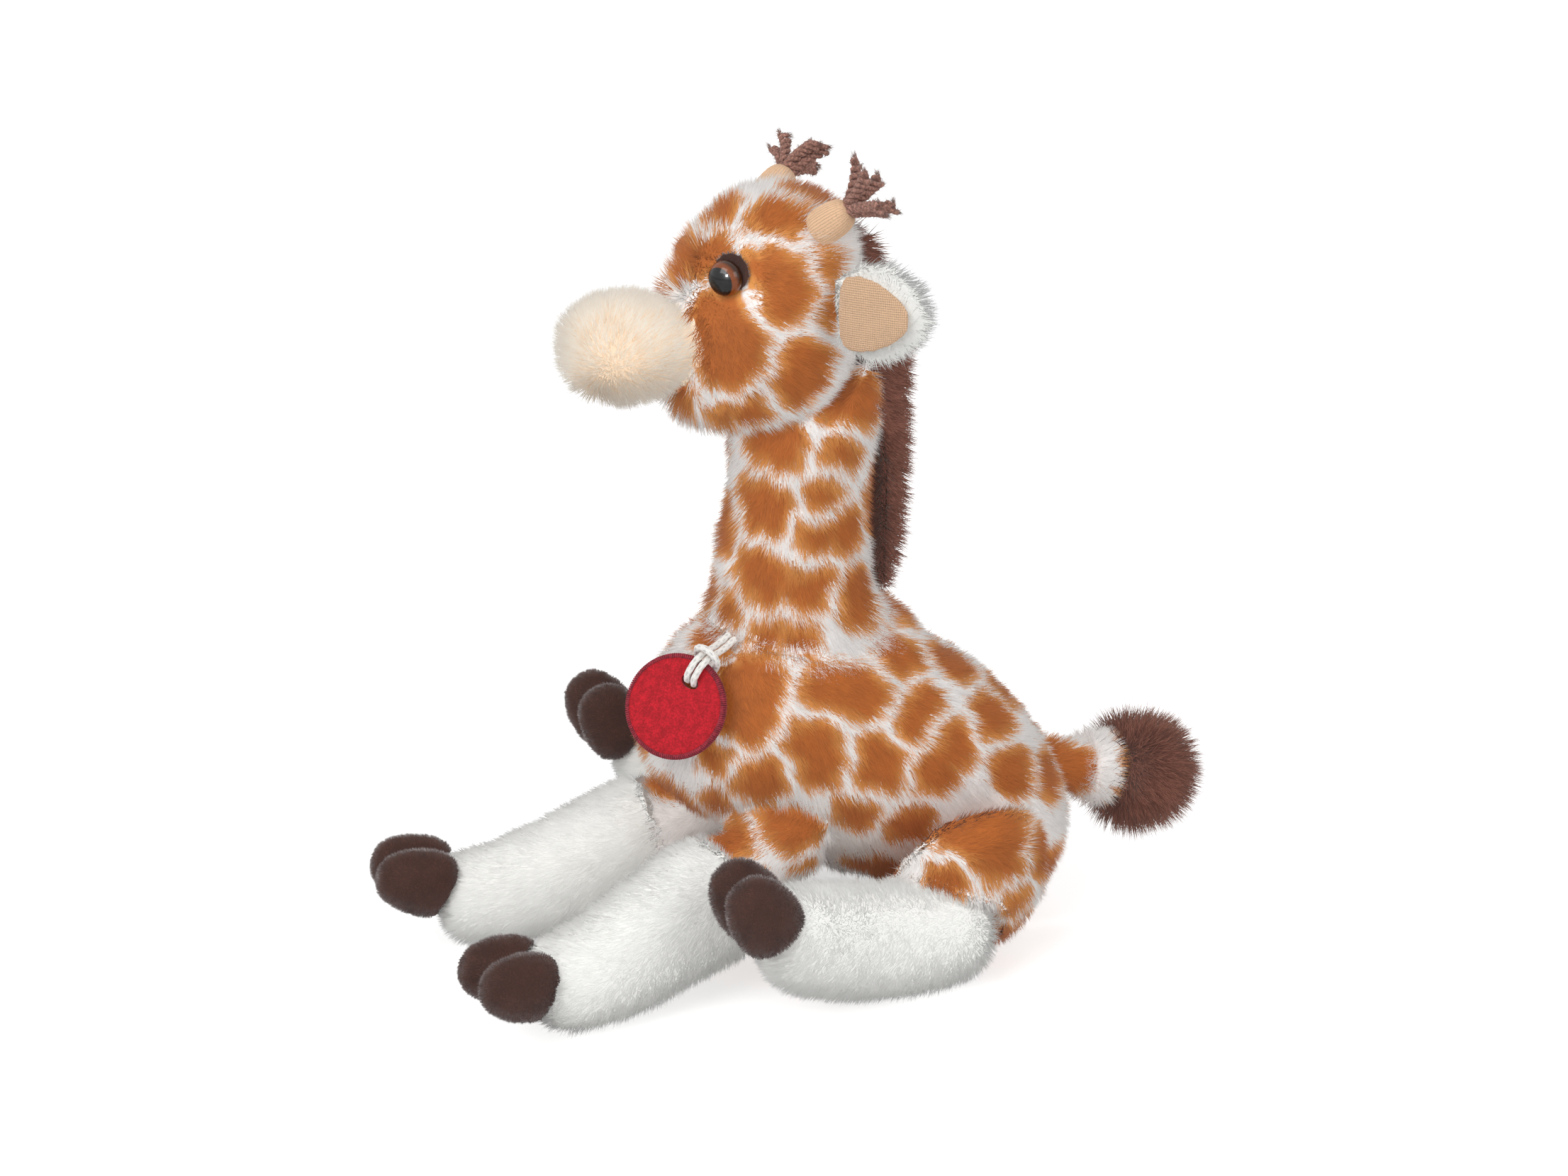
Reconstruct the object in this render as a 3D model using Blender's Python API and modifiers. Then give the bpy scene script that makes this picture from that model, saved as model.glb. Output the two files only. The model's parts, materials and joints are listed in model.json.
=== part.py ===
"""Seated plush giraffe: stuffed fabric forms, sewn limbs that swing, safety eyes and a hang tag.

Metres, +Z up. The toy faces -Y and its left side is +X. The origin is the middle of the flat
under the rump, on the surface that the toy sits on.
"""
import math

import bmesh
import bpy
from mathutils import Matrix, Vector
from mathutils.bvhtree import BVHTree

# Clearances and cuts
GAP = 0.0003
MERGE_REACH = 0.000003
CORD_PLAY = 0.0018
CUT_OVERRUN = 0.004
FLOOR_REACH = 0.4

# Mesh fineness, in counts
BODY_SIDES = 12
LIMB_SIDES = 8
SMALL_SIDES = 6
BALL_SIDES = 12
TURNED_STEPS = 16
ROUNDING_LEVELS = 1
SHARP_ANGLE = math.radians(50.0)

# Torso: a barrel that leans back onto the rump
TORSO_LENGTH = 0.157
TORSO_WIDTH = 0.086
TORSO_DEPTH = 0.086
TORSO_RISE = math.radians(24.8)
RUMP_BEHIND = 0.0315
RUMP_HEIGHT = 0.0305
TORSO_SHARES = (
    (0.00, -0.17, 0.36, 0.36),
    (0.055, -0.27, 0.80, 0.72),
    (0.15, -0.17, 0.98, 0.90),
    (0.30, 0.01, 1.03, 0.99),
    (0.52, 0.17, 1.00, 0.98),
    (0.76, 0.09, 0.96, 0.98),
    (0.92, 0.00, 0.78, 0.76),
    (1.00, -0.06, 0.42, 0.40),
)

# Neck: a tube on the withers
NECK_WIDTH = 0.050
NECK_DEPTH = 0.053
NECK_LENGTH = 0.094
NECK_LEAN = math.radians(5.0)
NECK_SEAT_SHARES = (0.74, 0.0, 0.34)
NECK_SHARES = (
    (0.00, 0.06, 1.08, 1.06),
    (0.22, 0.04, 1.10, 1.12),
    (0.42, 0.01, 1.00, 1.02),
    (0.70, 0.00, 0.93, 0.92),
    (1.00, 0.00, 0.92, 0.90),
)

# Head, set on the neck and turned a little to its left
HEAD_HEIGHT = 0.079
HEAD_WIDTH = 0.062
HEAD_DEPTH = 0.058
HEAD_TURN = math.radians(-2.5)
HEAD_DROP_SHARE = 0.082
HEAD_FORWARD_SHARE = 0.22
HEAD_SHARES = (
    (0.00, -0.16, 0.50, 0.55),
    (0.14, -0.12, 0.86, 0.94),
    (0.36, -0.04, 1.04, 1.06),
    (0.62, 0.05, 1.03, 1.00),
    (0.86, 0.10, 0.86, 0.84),
    (1.00, 0.12, 0.48, 0.50),
)

# Muzzle, sewn to the front of the head
MUZZLE_LENGTH = 0.0520
MUZZLE_WIDTH = 0.045
MUZZLE_DEPTH = 0.0385
MUZZLE_SEAT_SHARES = (0.392, -0.60)
MUZZLE_SHARES = (
    (0.00, 0.00, 0.84, 0.84),
    (0.30, 0.00, 0.96, 0.96),
    (0.62, 0.00, 1.04, 1.06),
    (0.88, -0.02, 0.82, 0.84),
    (1.00, -0.02, 0.42, 0.44),
)

# Mane, a strip of long pile down the back of the head and neck
MANE_WIDTH = 0.016
MANE_DEPTH = 0.030
MANE_BASE_SHARE = 0.28
MANE_TOP_SHARE = 0.86
MANE_SHARES = (
    (0.00, 0.00, 0.50, 0.40),
    (0.10, 0.05, 0.94, 0.86),
    (0.50, 0.16, 1.02, 1.00),
    (0.86, 0.14, 1.00, 1.00),
    (1.00, 0.00, 0.50, 0.46),
)

# Safety eyes: a turned dome on a ribbed stem, locked by a washer inside the head
EYE_RADIUS = 0.0056
EYE_DOME = 0.0042
EYE_FLANGE = 0.0008
STEM_RADIUS = 0.0016
STEM_LENGTH = 0.0105
STEM_RIB = 0.0004
STEM_RIBS = 4
WASHER_RADIUS = 0.0062
WASHER_THICKNESS = 0.0012
WASHER_LIP = 0.0010
WASHER_DEPTH = 0.0045
EYE_TURN = math.radians(41.0)
EYE_LIFT = math.radians(3.0)
EYE_SUNK = 0.0030
EYE_HEIGHT_SHARE = 0.672
PATCH_RADIUS = 0.0082
PATCH_THICKNESS = 0.0012
PATCH_SHIFT = 0.0022

# Ears: a plush back and a knit lining
EAR_LENGTH = 0.036
EAR_WIDTH = 0.036
EAR_DEPTH = 0.0085
EAR_TURN = math.radians(42.0)
EAR_ROOT_SUNK = 0.0030
EAR_HEIGHT_SHARE = 0.577
EAR_BACK_SHARE = 0.36
EAR_SWING = math.radians(15.0)
EAR_SHARES = (
    (0.00, 0.00, 0.44, 0.72),
    (0.12, 0.00, 0.70, 0.86),
    (0.45, 0.00, 1.08, 1.04),
    (0.80, 0.00, 0.78, 0.92),
    (1.00, 0.00, 0.26, 0.50),
)
LINING_LENGTH = 0.0245
LINING_WIDTH = 0.0250
LINING_DEPTH = 0.0040
LINING_START_SHARE = 0.19
LINING_SHARES = (
    (0.00, 0.00, 0.80, 0.70),
    (0.14, 0.00, 1.04, 0.96),
    (0.50, 0.00, 0.98, 1.00),
    (0.84, 0.00, 0.60, 0.92),
    (1.00, 0.00, 0.22, 0.60),
)

# Horn stubs of knit fabric, each with a tuft of yarn
HORN_RADIUS = 0.0060
HORN_LENGTH = 0.0115
HORN_ROOT = 0.0040
HORN_TILT = math.radians(38.0)
HORN_SPLAY = math.radians(23.0)
HORN_ACROSS_SHARE = 0.74
HORN_BACK_SHARE = 0.30
HORN_SHARES = (
    (0.00, 0.00, 0.96, 0.96),
    (0.40, 0.00, 1.00, 1.00),
    (0.82, 0.00, 0.92, 0.92),
    (1.00, 0.00, 0.50, 0.50),
)
YARN_RADIUS = 0.0021
YARN_LENGTH = 0.0100
YARN_SPREAD = math.radians(40.0)
YARN_STRANDS = 5
YARN_SIDES = 5
YARN_STEPS = 4

# Front legs, sewn under the front of the chest and stretched out on the floor
FRONT_WIDTH = 0.036
FRONT_DEPTH = 0.037
FRONT_REACH = 0.0905
FAR_FRONT_REACH = 0.0065
FAR_FRONT_HOOF_RISE = 0.0035
FRONT_SPLAY = 0.0165
FRONT_BALL = 0.0172
FRONT_END_HEIGHT = 0.0142
SHOULDER_SHARES = (0.685, 0.50, -0.77)
FRONT_SWING = math.radians(20.0)
FRONT_SLEEVE_SHARE = 0.26
FRONT_SHARES = (
    (0.00, -0.02, 0.80, 0.80),
    (0.18, -0.26, 0.97, 0.97),
    (0.45, -0.46, 1.02, 1.04),
    (0.75, -0.30, 0.98, 1.00),
    (0.93, -0.04, 0.90, 0.92),
    (1.00, 0.00, 0.56, 0.58),
)

# Hind legs, folded forward beside the belly
THIGH_RADIUS = 0.0325
THIGH_BULGE = 0.0270
HIP_SHARES = (0.31, 0.86, -0.47)
HIP_TILT = math.radians(30.0)
SHIN_WIDTH = 0.0355
SHIN_DEPTH = 0.038
SHIN_HEIGHT = 0.0155
SHIN_ROLL = math.radians(35.0)
KNEE_OUT = 0.0135
KNEE_BEHIND = 0.0040
SHIN_REACH = 0.0845
SHIN_OUT = 0.0150
ANKLE_RISE = 0.0195
FAR_ANKLE_OUT = 0.0010
FAR_ANKLE_RISE = 0.0150
SHIN_SHARES = (
    (0.00, 0.00, 0.56, 0.58),
    (0.07, -0.06, 0.92, 0.94),
    (0.30, -0.26, 1.02, 1.04),
    (0.62, -0.36, 1.00, 1.00),
    (0.90, -0.08, 0.94, 0.94),
    (1.00, 0.00, 0.60, 0.60),
)

# Cloven hooves
HOOF_LENGTH = 0.0305
HOOF_TOE_WIDTH = 0.0178
HOOF_DEPTH = 0.0260
HOOF_TOE_SPACING = 0.0064
HOOF_TOE_SPREAD = math.radians(1.5)
HOOF_OVERLAP = 0.010
FRONT_HOOF_LIFT = math.radians(16.0)
FRONT_HOOF_RISE = 0.0090
HIND_HOOF_LIFT = math.radians(58.0)
HIND_HOOF_RISE = 0.0080
HOOF_SHARES = (
    (0.00, 0.00, 0.78, 0.80),
    (0.38, 0.00, 1.08, 1.08),
    (0.84, 0.00, 0.84, 0.80),
    (1.00, 0.00, 0.40, 0.36),
)

# Tail and its tuft
TAIL_RADIUS = 0.0118
TAIL_LENGTH = 0.0260
TAIL_DROP = math.radians(12.0)
TAIL_SHARES = (0.06, 0.0, 0.34)
TAIL_FORM_SHARES = (
    (0.00, 0.00, 0.84, 0.84),
    (0.30, 0.00, 0.98, 0.98),
    (0.80, 0.00, 0.94, 0.94),
    (1.00, 0.00, 0.62, 0.62),
)
TUFT_LENGTH = 0.039
TUFT_RADIUS = 0.0200
TUFT_OVERLAP = 0.008
TUFT_SHARES = (
    (0.00, 0.00, 0.50, 0.50),
    (0.18, 0.00, 0.90, 0.92),
    (0.55, 0.00, 1.02, 1.08),
    (0.88, 0.00, 0.72, 0.78),
    (1.00, 0.00, 0.30, 0.34),
)

# Hang tag: a stitched disc of felt on a braided cord that leaves the seam below the neck
TAG_RADIUS = 0.0163
TAG_FRONT_THICKNESS = 0.0015
TAG_BACK_THICKNESS = 0.0008
TAG_HOLE_UP = 0.0090
TAG_SIDES = 40
TAG_EXIT_TURN = math.radians(29.0)
TAG_EXIT_SHARE = 0.258
TAG_OUT = 0.0061
TAG_FORWARD = 0.0216
TAG_DROP = 0.0186
TAG_TURN = math.radians(47.0)
TAG_LIFT = math.radians(25.0)
CORD_DIAMETER = 0.0022
CORD_KNOT_RADIUS = 0.0029
CORD_RESOLUTION = 2
CORD_STEPS = 2

# Half of the cord's route over the tag: across it, up it and out of its back
CORD_ROUTE = (
    (0.0012, 0.0270, -0.0092),
    (0.0013, 0.0232, -0.0052),
    (0.0013, 0.0204, -0.0010),
    (0.0013, 0.0182, 0.0025),
    (0.0013, 0.0163, 0.0043),
    (0.0013, 0.0140, 0.0049),
    (0.0013, 0.0114, 0.0045),
    (0.0013, 0.0096, 0.0031),
    (0.0013, 0.0090, 0.0013),
    (0.0014, 0.0095, -0.0005),
    (0.0018, 0.0113, -0.0016),
    (0.0028, 0.0142, -0.0018),
    (0.0037, 0.0169, -0.0011),
    (0.0040, 0.0183, 0.0008),
    (0.0036, 0.0194, 0.0028),
    (0.0020, 0.0203, 0.0041),
    (0.0000, 0.0206, 0.0045),
)

FURRY = 0.95
KNIT = 0.9
VELVET = 0.92


def clear_scene():
    for item in list(bpy.data.objects):
        bpy.data.objects.remove(item, do_unlink=True)


def new_collection(name):
    group = bpy.data.collections.new(name)
    bpy.context.scene.collection.children.link(group)
    return group


def surface(name, colour, roughness, metallic=0.0):
    material = bpy.data.materials.new(name)
    material.use_nodes = True
    shader = material.node_tree.nodes["Principled BSDF"]
    shader.inputs["Base Color"].default_value = (*colour, 1.0)
    shader.inputs["Roughness"].default_value = roughness
    shader.inputs["Metallic"].default_value = metallic
    material.diffuse_color = (*colour, 1.0)
    return material


def patterned_plush():
    return surface("patterned_plush", (0.62, 0.27, 0.07), FURRY)


def white_plush():
    return surface("white_plush", (0.88, 0.89, 0.86), FURRY)


def muzzle_plush():
    return surface("muzzle_plush", (0.93, 0.76, 0.58), FURRY)


def mane_plush():
    return surface("mane_plush", (0.10, 0.035, 0.022), FURRY)


def hoof_velvet():
    return surface("hoof_velvet", (0.075, 0.025, 0.018), VELVET)


def beige_knit():
    return surface("beige_knit", (0.78, 0.52, 0.34), KNIT)


def brown_yarn():
    return surface("brown_yarn", (0.13, 0.06, 0.045), KNIT)


def eye_resin():
    return surface("eye_resin", (0.03, 0.012, 0.005), 0.06)


def washer_plastic():
    return surface("washer_plastic", (0.85, 0.85, 0.83), 0.4)


def tag_felt():
    return surface("tag_felt", (0.72, 0.02, 0.03), KNIT)


def tag_backing():
    return surface("tag_backing", (0.30, 0.02, 0.04), KNIT)


def white_cord():
    return surface("white_cord", (0.85, 0.83, 0.80), KNIT)


def add_object(name, mesh, group, material=None):
    item = bpy.data.objects.new(name, mesh)
    if material:
        mesh.materials.clear()
        mesh.materials.append(material)
    group.objects.link(item)
    return item


def frame_between(base, tip, side=Vector((1, 0, 0))):
    """A frame at base whose Z runs to tip and whose X stays near side."""
    along = (tip - base).normalized()
    over = along.cross(side).normalized()
    across = over.cross(along)
    turn = Matrix((across, over, along)).transposed().to_4x4()
    return Matrix.Translation(base) @ turn


def face_outward(bm):
    bmesh.ops.recalc_face_normals(bm, faces=bm.faces)
    if bm.calc_volume(signed=True) < 0:
        bmesh.ops.reverse_faces(bm, faces=bm.faces)


def mesh_from(bm, name):
    face_outward(bm)
    mesh = bpy.data.meshes.new(name)
    bm.to_mesh(mesh)
    bm.free()
    return mesh


def smooth(mesh):
    mesh.shade_smooth()
    mesh.set_sharp_from_angle(angle=SHARP_ANGLE)


def apply_shape(item):
    """The object's evaluated mesh takes the place of its cage and modifiers."""
    bpy.context.view_layer.update()
    graph = bpy.context.evaluated_depsgraph_get()
    shaped = bpy.data.meshes.new_from_object(item.evaluated_get(graph))
    item.modifiers.clear()
    item.data = shaped
    bm = bmesh.new()
    bm.from_mesh(shaped)
    bmesh.ops.dissolve_degenerate(bm, dist=MERGE_REACH, edges=bm.edges)
    bmesh.ops.triangulate(bm, faces=bm.faces)
    face_outward(bm)
    bm.to_mesh(shaped)
    bm.free()
    smooth(shaped)


def ring_cage(sides, stations):
    """A capped ring drawn out from station to station: centre, half width and half depth."""
    bm = bmesh.new()
    bmesh.ops.create_circle(bm, cap_ends=True, segments=sides, radius=1)
    centre, half_width, half_depth = stations[0]
    for vert in bm.verts:
        vert.co = centre + Vector((vert.co.x * half_width, vert.co.y * half_depth, 0))
    bm.faces.ensure_lookup_table()
    base = cap = bm.faces[0]
    for next_centre, next_width, next_depth in stations[1:]:
        drawn = bmesh.ops.extrude_face_region(bm, geom=[cap])["geom"]
        if cap.is_valid and cap is not base:
            bmesh.ops.delete(bm, geom=[cap], context="FACES_ONLY")
        cap = next(part for part in drawn if isinstance(part, bmesh.types.BMFace))
        for vert in cap.verts:
            spoke = vert.co - centre
            spoke.x *= next_width / half_width
            spoke.y *= next_depth / half_depth
            vert.co = next_centre + spoke
        centre, half_width, half_depth = next_centre, next_width, next_depth
    return bm


def soft_form(name, group, material, frame, size, shares, sides=LIMB_SIDES):
    """A stuffed form along its frame's Z, from shares of its length, width and depth.

    Each share row holds the place along the length, the lean over the depth, and how much of
    the width and depth the section fills. Subdivision draws the ring in by a known share.
    """
    length, width, depth = size
    fullness_share = 6 / (4 + 2 * math.cos(2 * math.pi / sides))
    stations = []
    for along, lean, wide, deep in shares:
        centre = Vector((0, lean * depth / 2, along * length))
        stations.append((centre, wide * width / 2 * fullness_share,
                         deep * depth / 2 * fullness_share))
    mesh = mesh_from(ring_cage(sides, stations), name)
    item = add_object(name, mesh, group, material)
    item.matrix_world = frame
    rounding = item.modifiers.new("rounding", "SUBSURF")
    rounding.levels = ROUNDING_LEVELS
    rounding.render_levels = ROUNDING_LEVELS
    apply_shape(item)
    return item


def world_bmesh(item, swell=0.0):
    """The object's mesh in world space, swelled along its normals."""
    bm = bmesh.new()
    bm.from_mesh(item.data)
    bm.transform(item.matrix_world)
    bm.normal_update()
    if swell:
        shifts = [vert.normal * swell for vert in bm.verts]
        for vert, shift in zip(bm.verts, shifts):
            vert.co += shift
    return bm


def as_cutter(name, bm, cutters):
    mesh = mesh_from(bm, name)
    item = add_object(name, mesh, cutters)
    item.hide_render = True
    item.display_type = "WIRE"
    return item


def swelled_cutter(item, cutters, turn=None, swell=GAP):
    bm = world_bmesh(item, swell)
    if turn:
        bm.transform(turn)
    return as_cutter(item.name + "_room", bm, cutters)


def combine(item, other, operation):
    """One exact Boolean, applied at once."""
    bpy.context.view_layer.update()
    step = item.modifiers.new(operation.lower(), "BOOLEAN")
    step.operation = operation
    step.solver = "EXACT"
    step.object = other
    apply_shape(item)


def cut(item, *tools):
    for tool in tools:
        combine(item, tool, "DIFFERENCE")


def merge(item, others):
    for other in others:
        combine(item, other, "UNION")
        bpy.data.objects.remove(other, do_unlink=True)


def outside(radius):
    """The radius of a faceted rod whose flats stay outside this one."""
    return radius / math.cos(math.pi / BALL_SIDES)


def ball_bmesh(centre, radius, turn):
    """A faceted ball with its poles across the toy, turned about them."""
    bm = bmesh.new()
    bmesh.ops.create_uvsphere(bm, u_segments=BALL_SIDES, v_segments=BALL_SIDES // 2, radius=radius)
    poles = Matrix.Rotation(math.pi / 2, 4, "Y")
    bm.transform(Matrix.Translation(centre) @ Matrix.Rotation(turn, 4, "X") @ poles)
    return bm


def ball_cutter(name, centre, radius, cutters):
    return as_cutter(name, ball_bmesh(centre, outside(radius), 0), cutters)


def ball(name, centre, radius, group, material):
    """A ball whose edges face the middles of its socket's flats."""
    bm = ball_bmesh(centre, radius, math.pi / BALL_SIDES)
    return add_object(name, mesh_from(bm, name), group, material)


def rod_cutter(name, frame, radius, low, high, cutters, sides=BALL_SIDES):
    bm = bmesh.new()
    bmesh.ops.create_cone(bm, cap_ends=True, segments=sides, radius1=radius, radius2=radius,
                          depth=high - low)
    bm.transform(frame @ Matrix.Translation((0, 0, (low + high) / 2)))
    return as_cutter(name, bm, cutters)


def box_cutter(name, frame, size, cutters):
    bm = bmesh.new()
    bmesh.ops.create_cube(bm, size=1)
    bm.transform(frame @ Matrix.Diagonal((*size, 1)))
    return as_cutter(name, bm, cutters)


def floor_cutter(cutters):
    place = Matrix.Translation((0, 0, -FLOOR_REACH / 2))
    return box_cutter("floor_room", place, (FLOOR_REACH * 2, FLOOR_REACH * 2, FLOOR_REACH), cutters)


def split(item, name, point, normal, group):
    """Cuts the form across and gives the far half a name; the halves stay a gap apart."""
    far = add_object(name, item.data.copy(), group)
    far.matrix_world = item.matrix_world
    for half, sign in ((item, 1), (far, -1)):
        bm = bmesh.new()
        bm.from_mesh(half.data)
        inverse = half.matrix_world.inverted()
        spot = inverse @ (point - normal * (GAP / 2 * sign))
        facing = (inverse.to_3x3() @ normal) * sign
        cutting = bmesh.ops.bisect_plane(bm, geom=[*bm.verts, *bm.edges, *bm.faces], plane_co=spot,
                                         plane_no=facing, clear_outer=True)
        rim = [part for part in cutting["geom_cut"] if isinstance(part, bmesh.types.BMEdge)]
        bmesh.ops.contextual_create(bm, geom=rim)
        face_outward(bm)
        bm.to_mesh(half.data)
        bm.free()
    return far


def recolour(item, material):
    item.data.materials.clear()
    item.data.materials.append(material)


def show(item, material):
    """A rod made as a piece, not as a cutter."""
    item.hide_render = False
    item.display_type = "TEXTURED"
    recolour(item, material)


def hit(item, start, direction):
    """Where a ray first meets the object's surface."""
    bm = world_bmesh(item)
    tree = BVHTree.FromBMesh(bm)
    place = tree.ray_cast(start, direction)[0]
    bm.free()
    return place


def pivot(name, place, group):
    """An empty on a joint's axis."""
    empty = bpy.data.objects.new(name, None)
    empty.location = place
    empty.empty_display_size = GAP
    group.objects.link(empty)
    return empty


def hang_on(empty, *items):
    bpy.context.view_layer.update()
    for item in items:
        item.parent = empty
        item.matrix_parent_inverse = empty.matrix_world.inverted()


def turned(name, profile, group, material, frame):
    """A profile of radius and height, top to bottom down its outer side, turned about Z."""
    bm = bmesh.new()
    points = [bm.verts.new((radius, 0, height)) for radius, height in profile]
    for first, second in zip(points, points[1:]):
        bm.edges.new((first, second))
    if profile[0][0] > 0:
        bm.edges.new((points[-1], points[0]))
    mesh = bpy.data.meshes.new(name)
    bm.to_mesh(mesh)
    bm.free()
    item = add_object(name, mesh, group, material)
    item.matrix_world = frame
    turning = item.modifiers.new("turning", "SCREW")
    turning.steps = TURNED_STEPS
    turning.render_steps = TURNED_STEPS
    turning.use_merge_vertices = True
    turning.merge_threshold = MERGE_REACH
    apply_shape(item)
    return item


def torso_frame():
    base = Vector((0, RUMP_BEHIND, RUMP_HEIGHT))
    tip = base + Vector((0, -math.cos(TORSO_RISE), math.sin(TORSO_RISE)))
    return frame_between(base, tip)


def torso_place(along, across, rise):
    """A place in the torso, as shares of its length, half width and half depth."""
    local = Vector((across * TORSO_WIDTH / 2, rise * TORSO_DEPTH / 2, along * TORSO_LENGTH))
    return torso_frame() @ local


def neck_frame():
    base = torso_place(*NECK_SEAT_SHARES)
    tip = base + Vector((0, math.sin(NECK_LEAN), math.cos(NECK_LEAN)))
    return frame_between(base, tip)


def head_frame():
    """Z up the head, -Y to its nose, at the bottom of the head."""
    top = neck_frame() @ Vector((0, 0, NECK_LENGTH))
    down = Vector((0, -HEAD_FORWARD_SHARE * HEAD_DEPTH, -HEAD_DROP_SHARE * HEAD_HEIGHT))
    return Matrix.Translation(top + down) @ Matrix.Rotation(HEAD_TURN, 4, "Z")


def head_side(turn, lift):
    """A direction out of the head: turn from the nose towards its left, lift upwards."""
    local = Vector((math.sin(turn) * math.cos(lift), -math.cos(turn) * math.cos(lift), math.sin(lift)))
    return head_frame().to_3x3() @ local


def make_torso(group, plush):
    size = (TORSO_LENGTH, TORSO_WIDTH, TORSO_DEPTH)
    return soft_form("torso", group, plush, torso_frame(), size, TORSO_SHARES, BODY_SIDES)


def make_neck(group, plush):
    size = (NECK_LENGTH, NECK_WIDTH, NECK_DEPTH)
    return soft_form("neck", group, plush, neck_frame(), size, NECK_SHARES, BODY_SIDES)


def make_head(group, plush):
    size = (HEAD_HEIGHT, HEAD_WIDTH, HEAD_DEPTH)
    return soft_form("head", group, plush, head_frame(), size, HEAD_SHARES, BODY_SIDES)


def make_muzzle(group, plush, head_room):
    height_share, forward_share = MUZZLE_SEAT_SHARES
    frame = head_frame()
    base = frame @ Vector((0, forward_share * HEAD_DEPTH / 2, height_share * HEAD_HEIGHT))
    tip = base + frame.to_3x3() @ Vector((0, -1, 0))
    size = (MUZZLE_LENGTH, MUZZLE_WIDTH, MUZZLE_DEPTH)
    muzzle = soft_form("muzzle", group, plush, frame_between(base, tip), size, MUZZLE_SHARES, BODY_SIDES)
    cut(muzzle, head_room)


def make_mane(group, plush, rooms):
    base = neck_frame() @ Vector((0, NECK_DEPTH / 2, MANE_BASE_SHARE * NECK_LENGTH))
    tip = head_frame() @ Vector((0, HEAD_DEPTH / 2, MANE_TOP_SHARE * HEAD_HEIGHT))
    size = ((tip - base).length, MANE_WIDTH, MANE_DEPTH)
    mane = soft_form("mane", group, plush, frame_between(base, tip), size, MANE_SHARES)
    cut(mane, *rooms)


def eye_frame(head, side):
    """A frame on the floor of the eye's socket with Z out along the eye's stem."""
    outward = head_side(side * EYE_TURN, EYE_LIFT)
    core = head_frame() @ Vector((0, 0, EYE_HEIGHT_SHARE * HEAD_HEIGHT))
    place = hit(head, core + outward * HEAD_WIDTH, -outward) - outward * EYE_SUNK
    return frame_between(place, place + outward, Vector((0, 0, 1)))


def eye_profile():
    seat = PATCH_THICKNESS + GAP * 2
    rim = seat + EYE_FLANGE
    profile = [(0, rim + EYE_DOME)]
    arc_steps = TURNED_STEPS // 4
    for step in range(1, arc_steps + 1):
        angle = step / arc_steps * math.pi / 2
        profile.append((EYE_RADIUS * math.sin(angle), rim + EYE_DOME * math.cos(angle)))
    profile.append((EYE_RADIUS, seat))
    profile.append((STEM_RADIUS, seat))
    pitch = STEM_LENGTH / (STEM_RIBS * 2)
    bottom = seat - STEM_LENGTH
    for rib in range(STEM_RIBS):
        low = bottom + (STEM_RIBS - 1 - rib) * pitch + pitch
        profile.append((STEM_RADIUS, low + pitch / 2))
        profile.append((STEM_RADIUS + STEM_RIB, low + pitch / 4))
        profile.append((STEM_RADIUS, low))
    profile.append((STEM_RADIUS, bottom))
    profile.append((0, bottom))
    return profile


def washer_profile():
    """A dished ring whose flange presses on the inside of the skin."""
    top = -WASHER_DEPTH
    bore = STEM_RADIUS + STEM_RIB + GAP
    hub = bore + WASHER_LIP
    return [
        (bore, top), (WASHER_RADIUS, top), (WASHER_RADIUS, top - WASHER_THICKNESS),
        (hub, top - WASHER_THICKNESS), (hub, top - WASHER_THICKNESS - WASHER_LIP),
        (bore, top - WASHER_THICKNESS - WASHER_LIP),
    ]


def make_eye(group, cutters, materials, head, name, side):
    """Dome, washer and backing patch, and their room in the head."""
    resin, plastic, velvet = materials
    frame = eye_frame(head, side)
    turned("eye_" + name, eye_profile(), group, resin, frame)
    turned("eye_washer_" + name, washer_profile(), group, plastic, frame)
    bore = STEM_RADIUS + STEM_RIB + GAP
    depth = STEM_LENGTH - PATCH_THICKNESS + GAP
    stem_room = rod_cutter("stem_room_" + name, frame, bore, -depth, CUT_OVERRUN, cutters)
    pocket_low = -WASHER_DEPTH - WASHER_THICKNESS - WASHER_LIP - GAP
    pocket_room = rod_cutter("washer_room_" + name, frame, WASHER_RADIUS + GAP, pocket_low,
                             -WASHER_DEPTH + GAP, cutters)
    back = frame.inverted().to_3x3() @ (head_frame().to_3x3() @ Vector((0, 1, 1)))
    shift = Vector((back.x, back.y, 0)).normalized() * PATCH_SHIFT
    socket = frame @ Matrix.Translation(shift)
    patch = rod_cutter("eye_patch_" + name, socket, PATCH_RADIUS, GAP, GAP + PATCH_THICKNESS, group)
    show(patch, velvet)
    cut(patch, stem_room)
    socket_room = rod_cutter("socket_room_" + name, socket, PATCH_RADIUS + GAP, 0, CUT_OVERRUN * 2,
                             cutters)
    return stem_room, pocket_room, socket_room


def ear_frame(side):
    """At the ear's root, Z out to its tip, Y to its front."""
    root = head_frame() @ Vector((side * HEAD_WIDTH / 2 * math.cos(math.asin(EAR_BACK_SHARE)),
                                  EAR_BACK_SHARE * HEAD_DEPTH / 2, EAR_HEIGHT_SHARE * HEAD_HEIGHT))
    outward = head_side(side * (math.pi / 2 + EAR_TURN), 0.0)
    start = root - outward * EAR_ROOT_SUNK
    return frame_between(start, start + outward, Vector((0, 0, side)))


def swing_turns(place, axis, low, high, steps):
    """Turns about an axis through a place, from one limit to the other."""
    turns = []
    for step in range(steps + 1):
        angle = low + (high - low) * step / steps
        turn = Matrix.Rotation(angle, 4, axis)
        turns.append(Matrix.Translation(place) @ turn @ Matrix.Translation(-place))
    return turns


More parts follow.
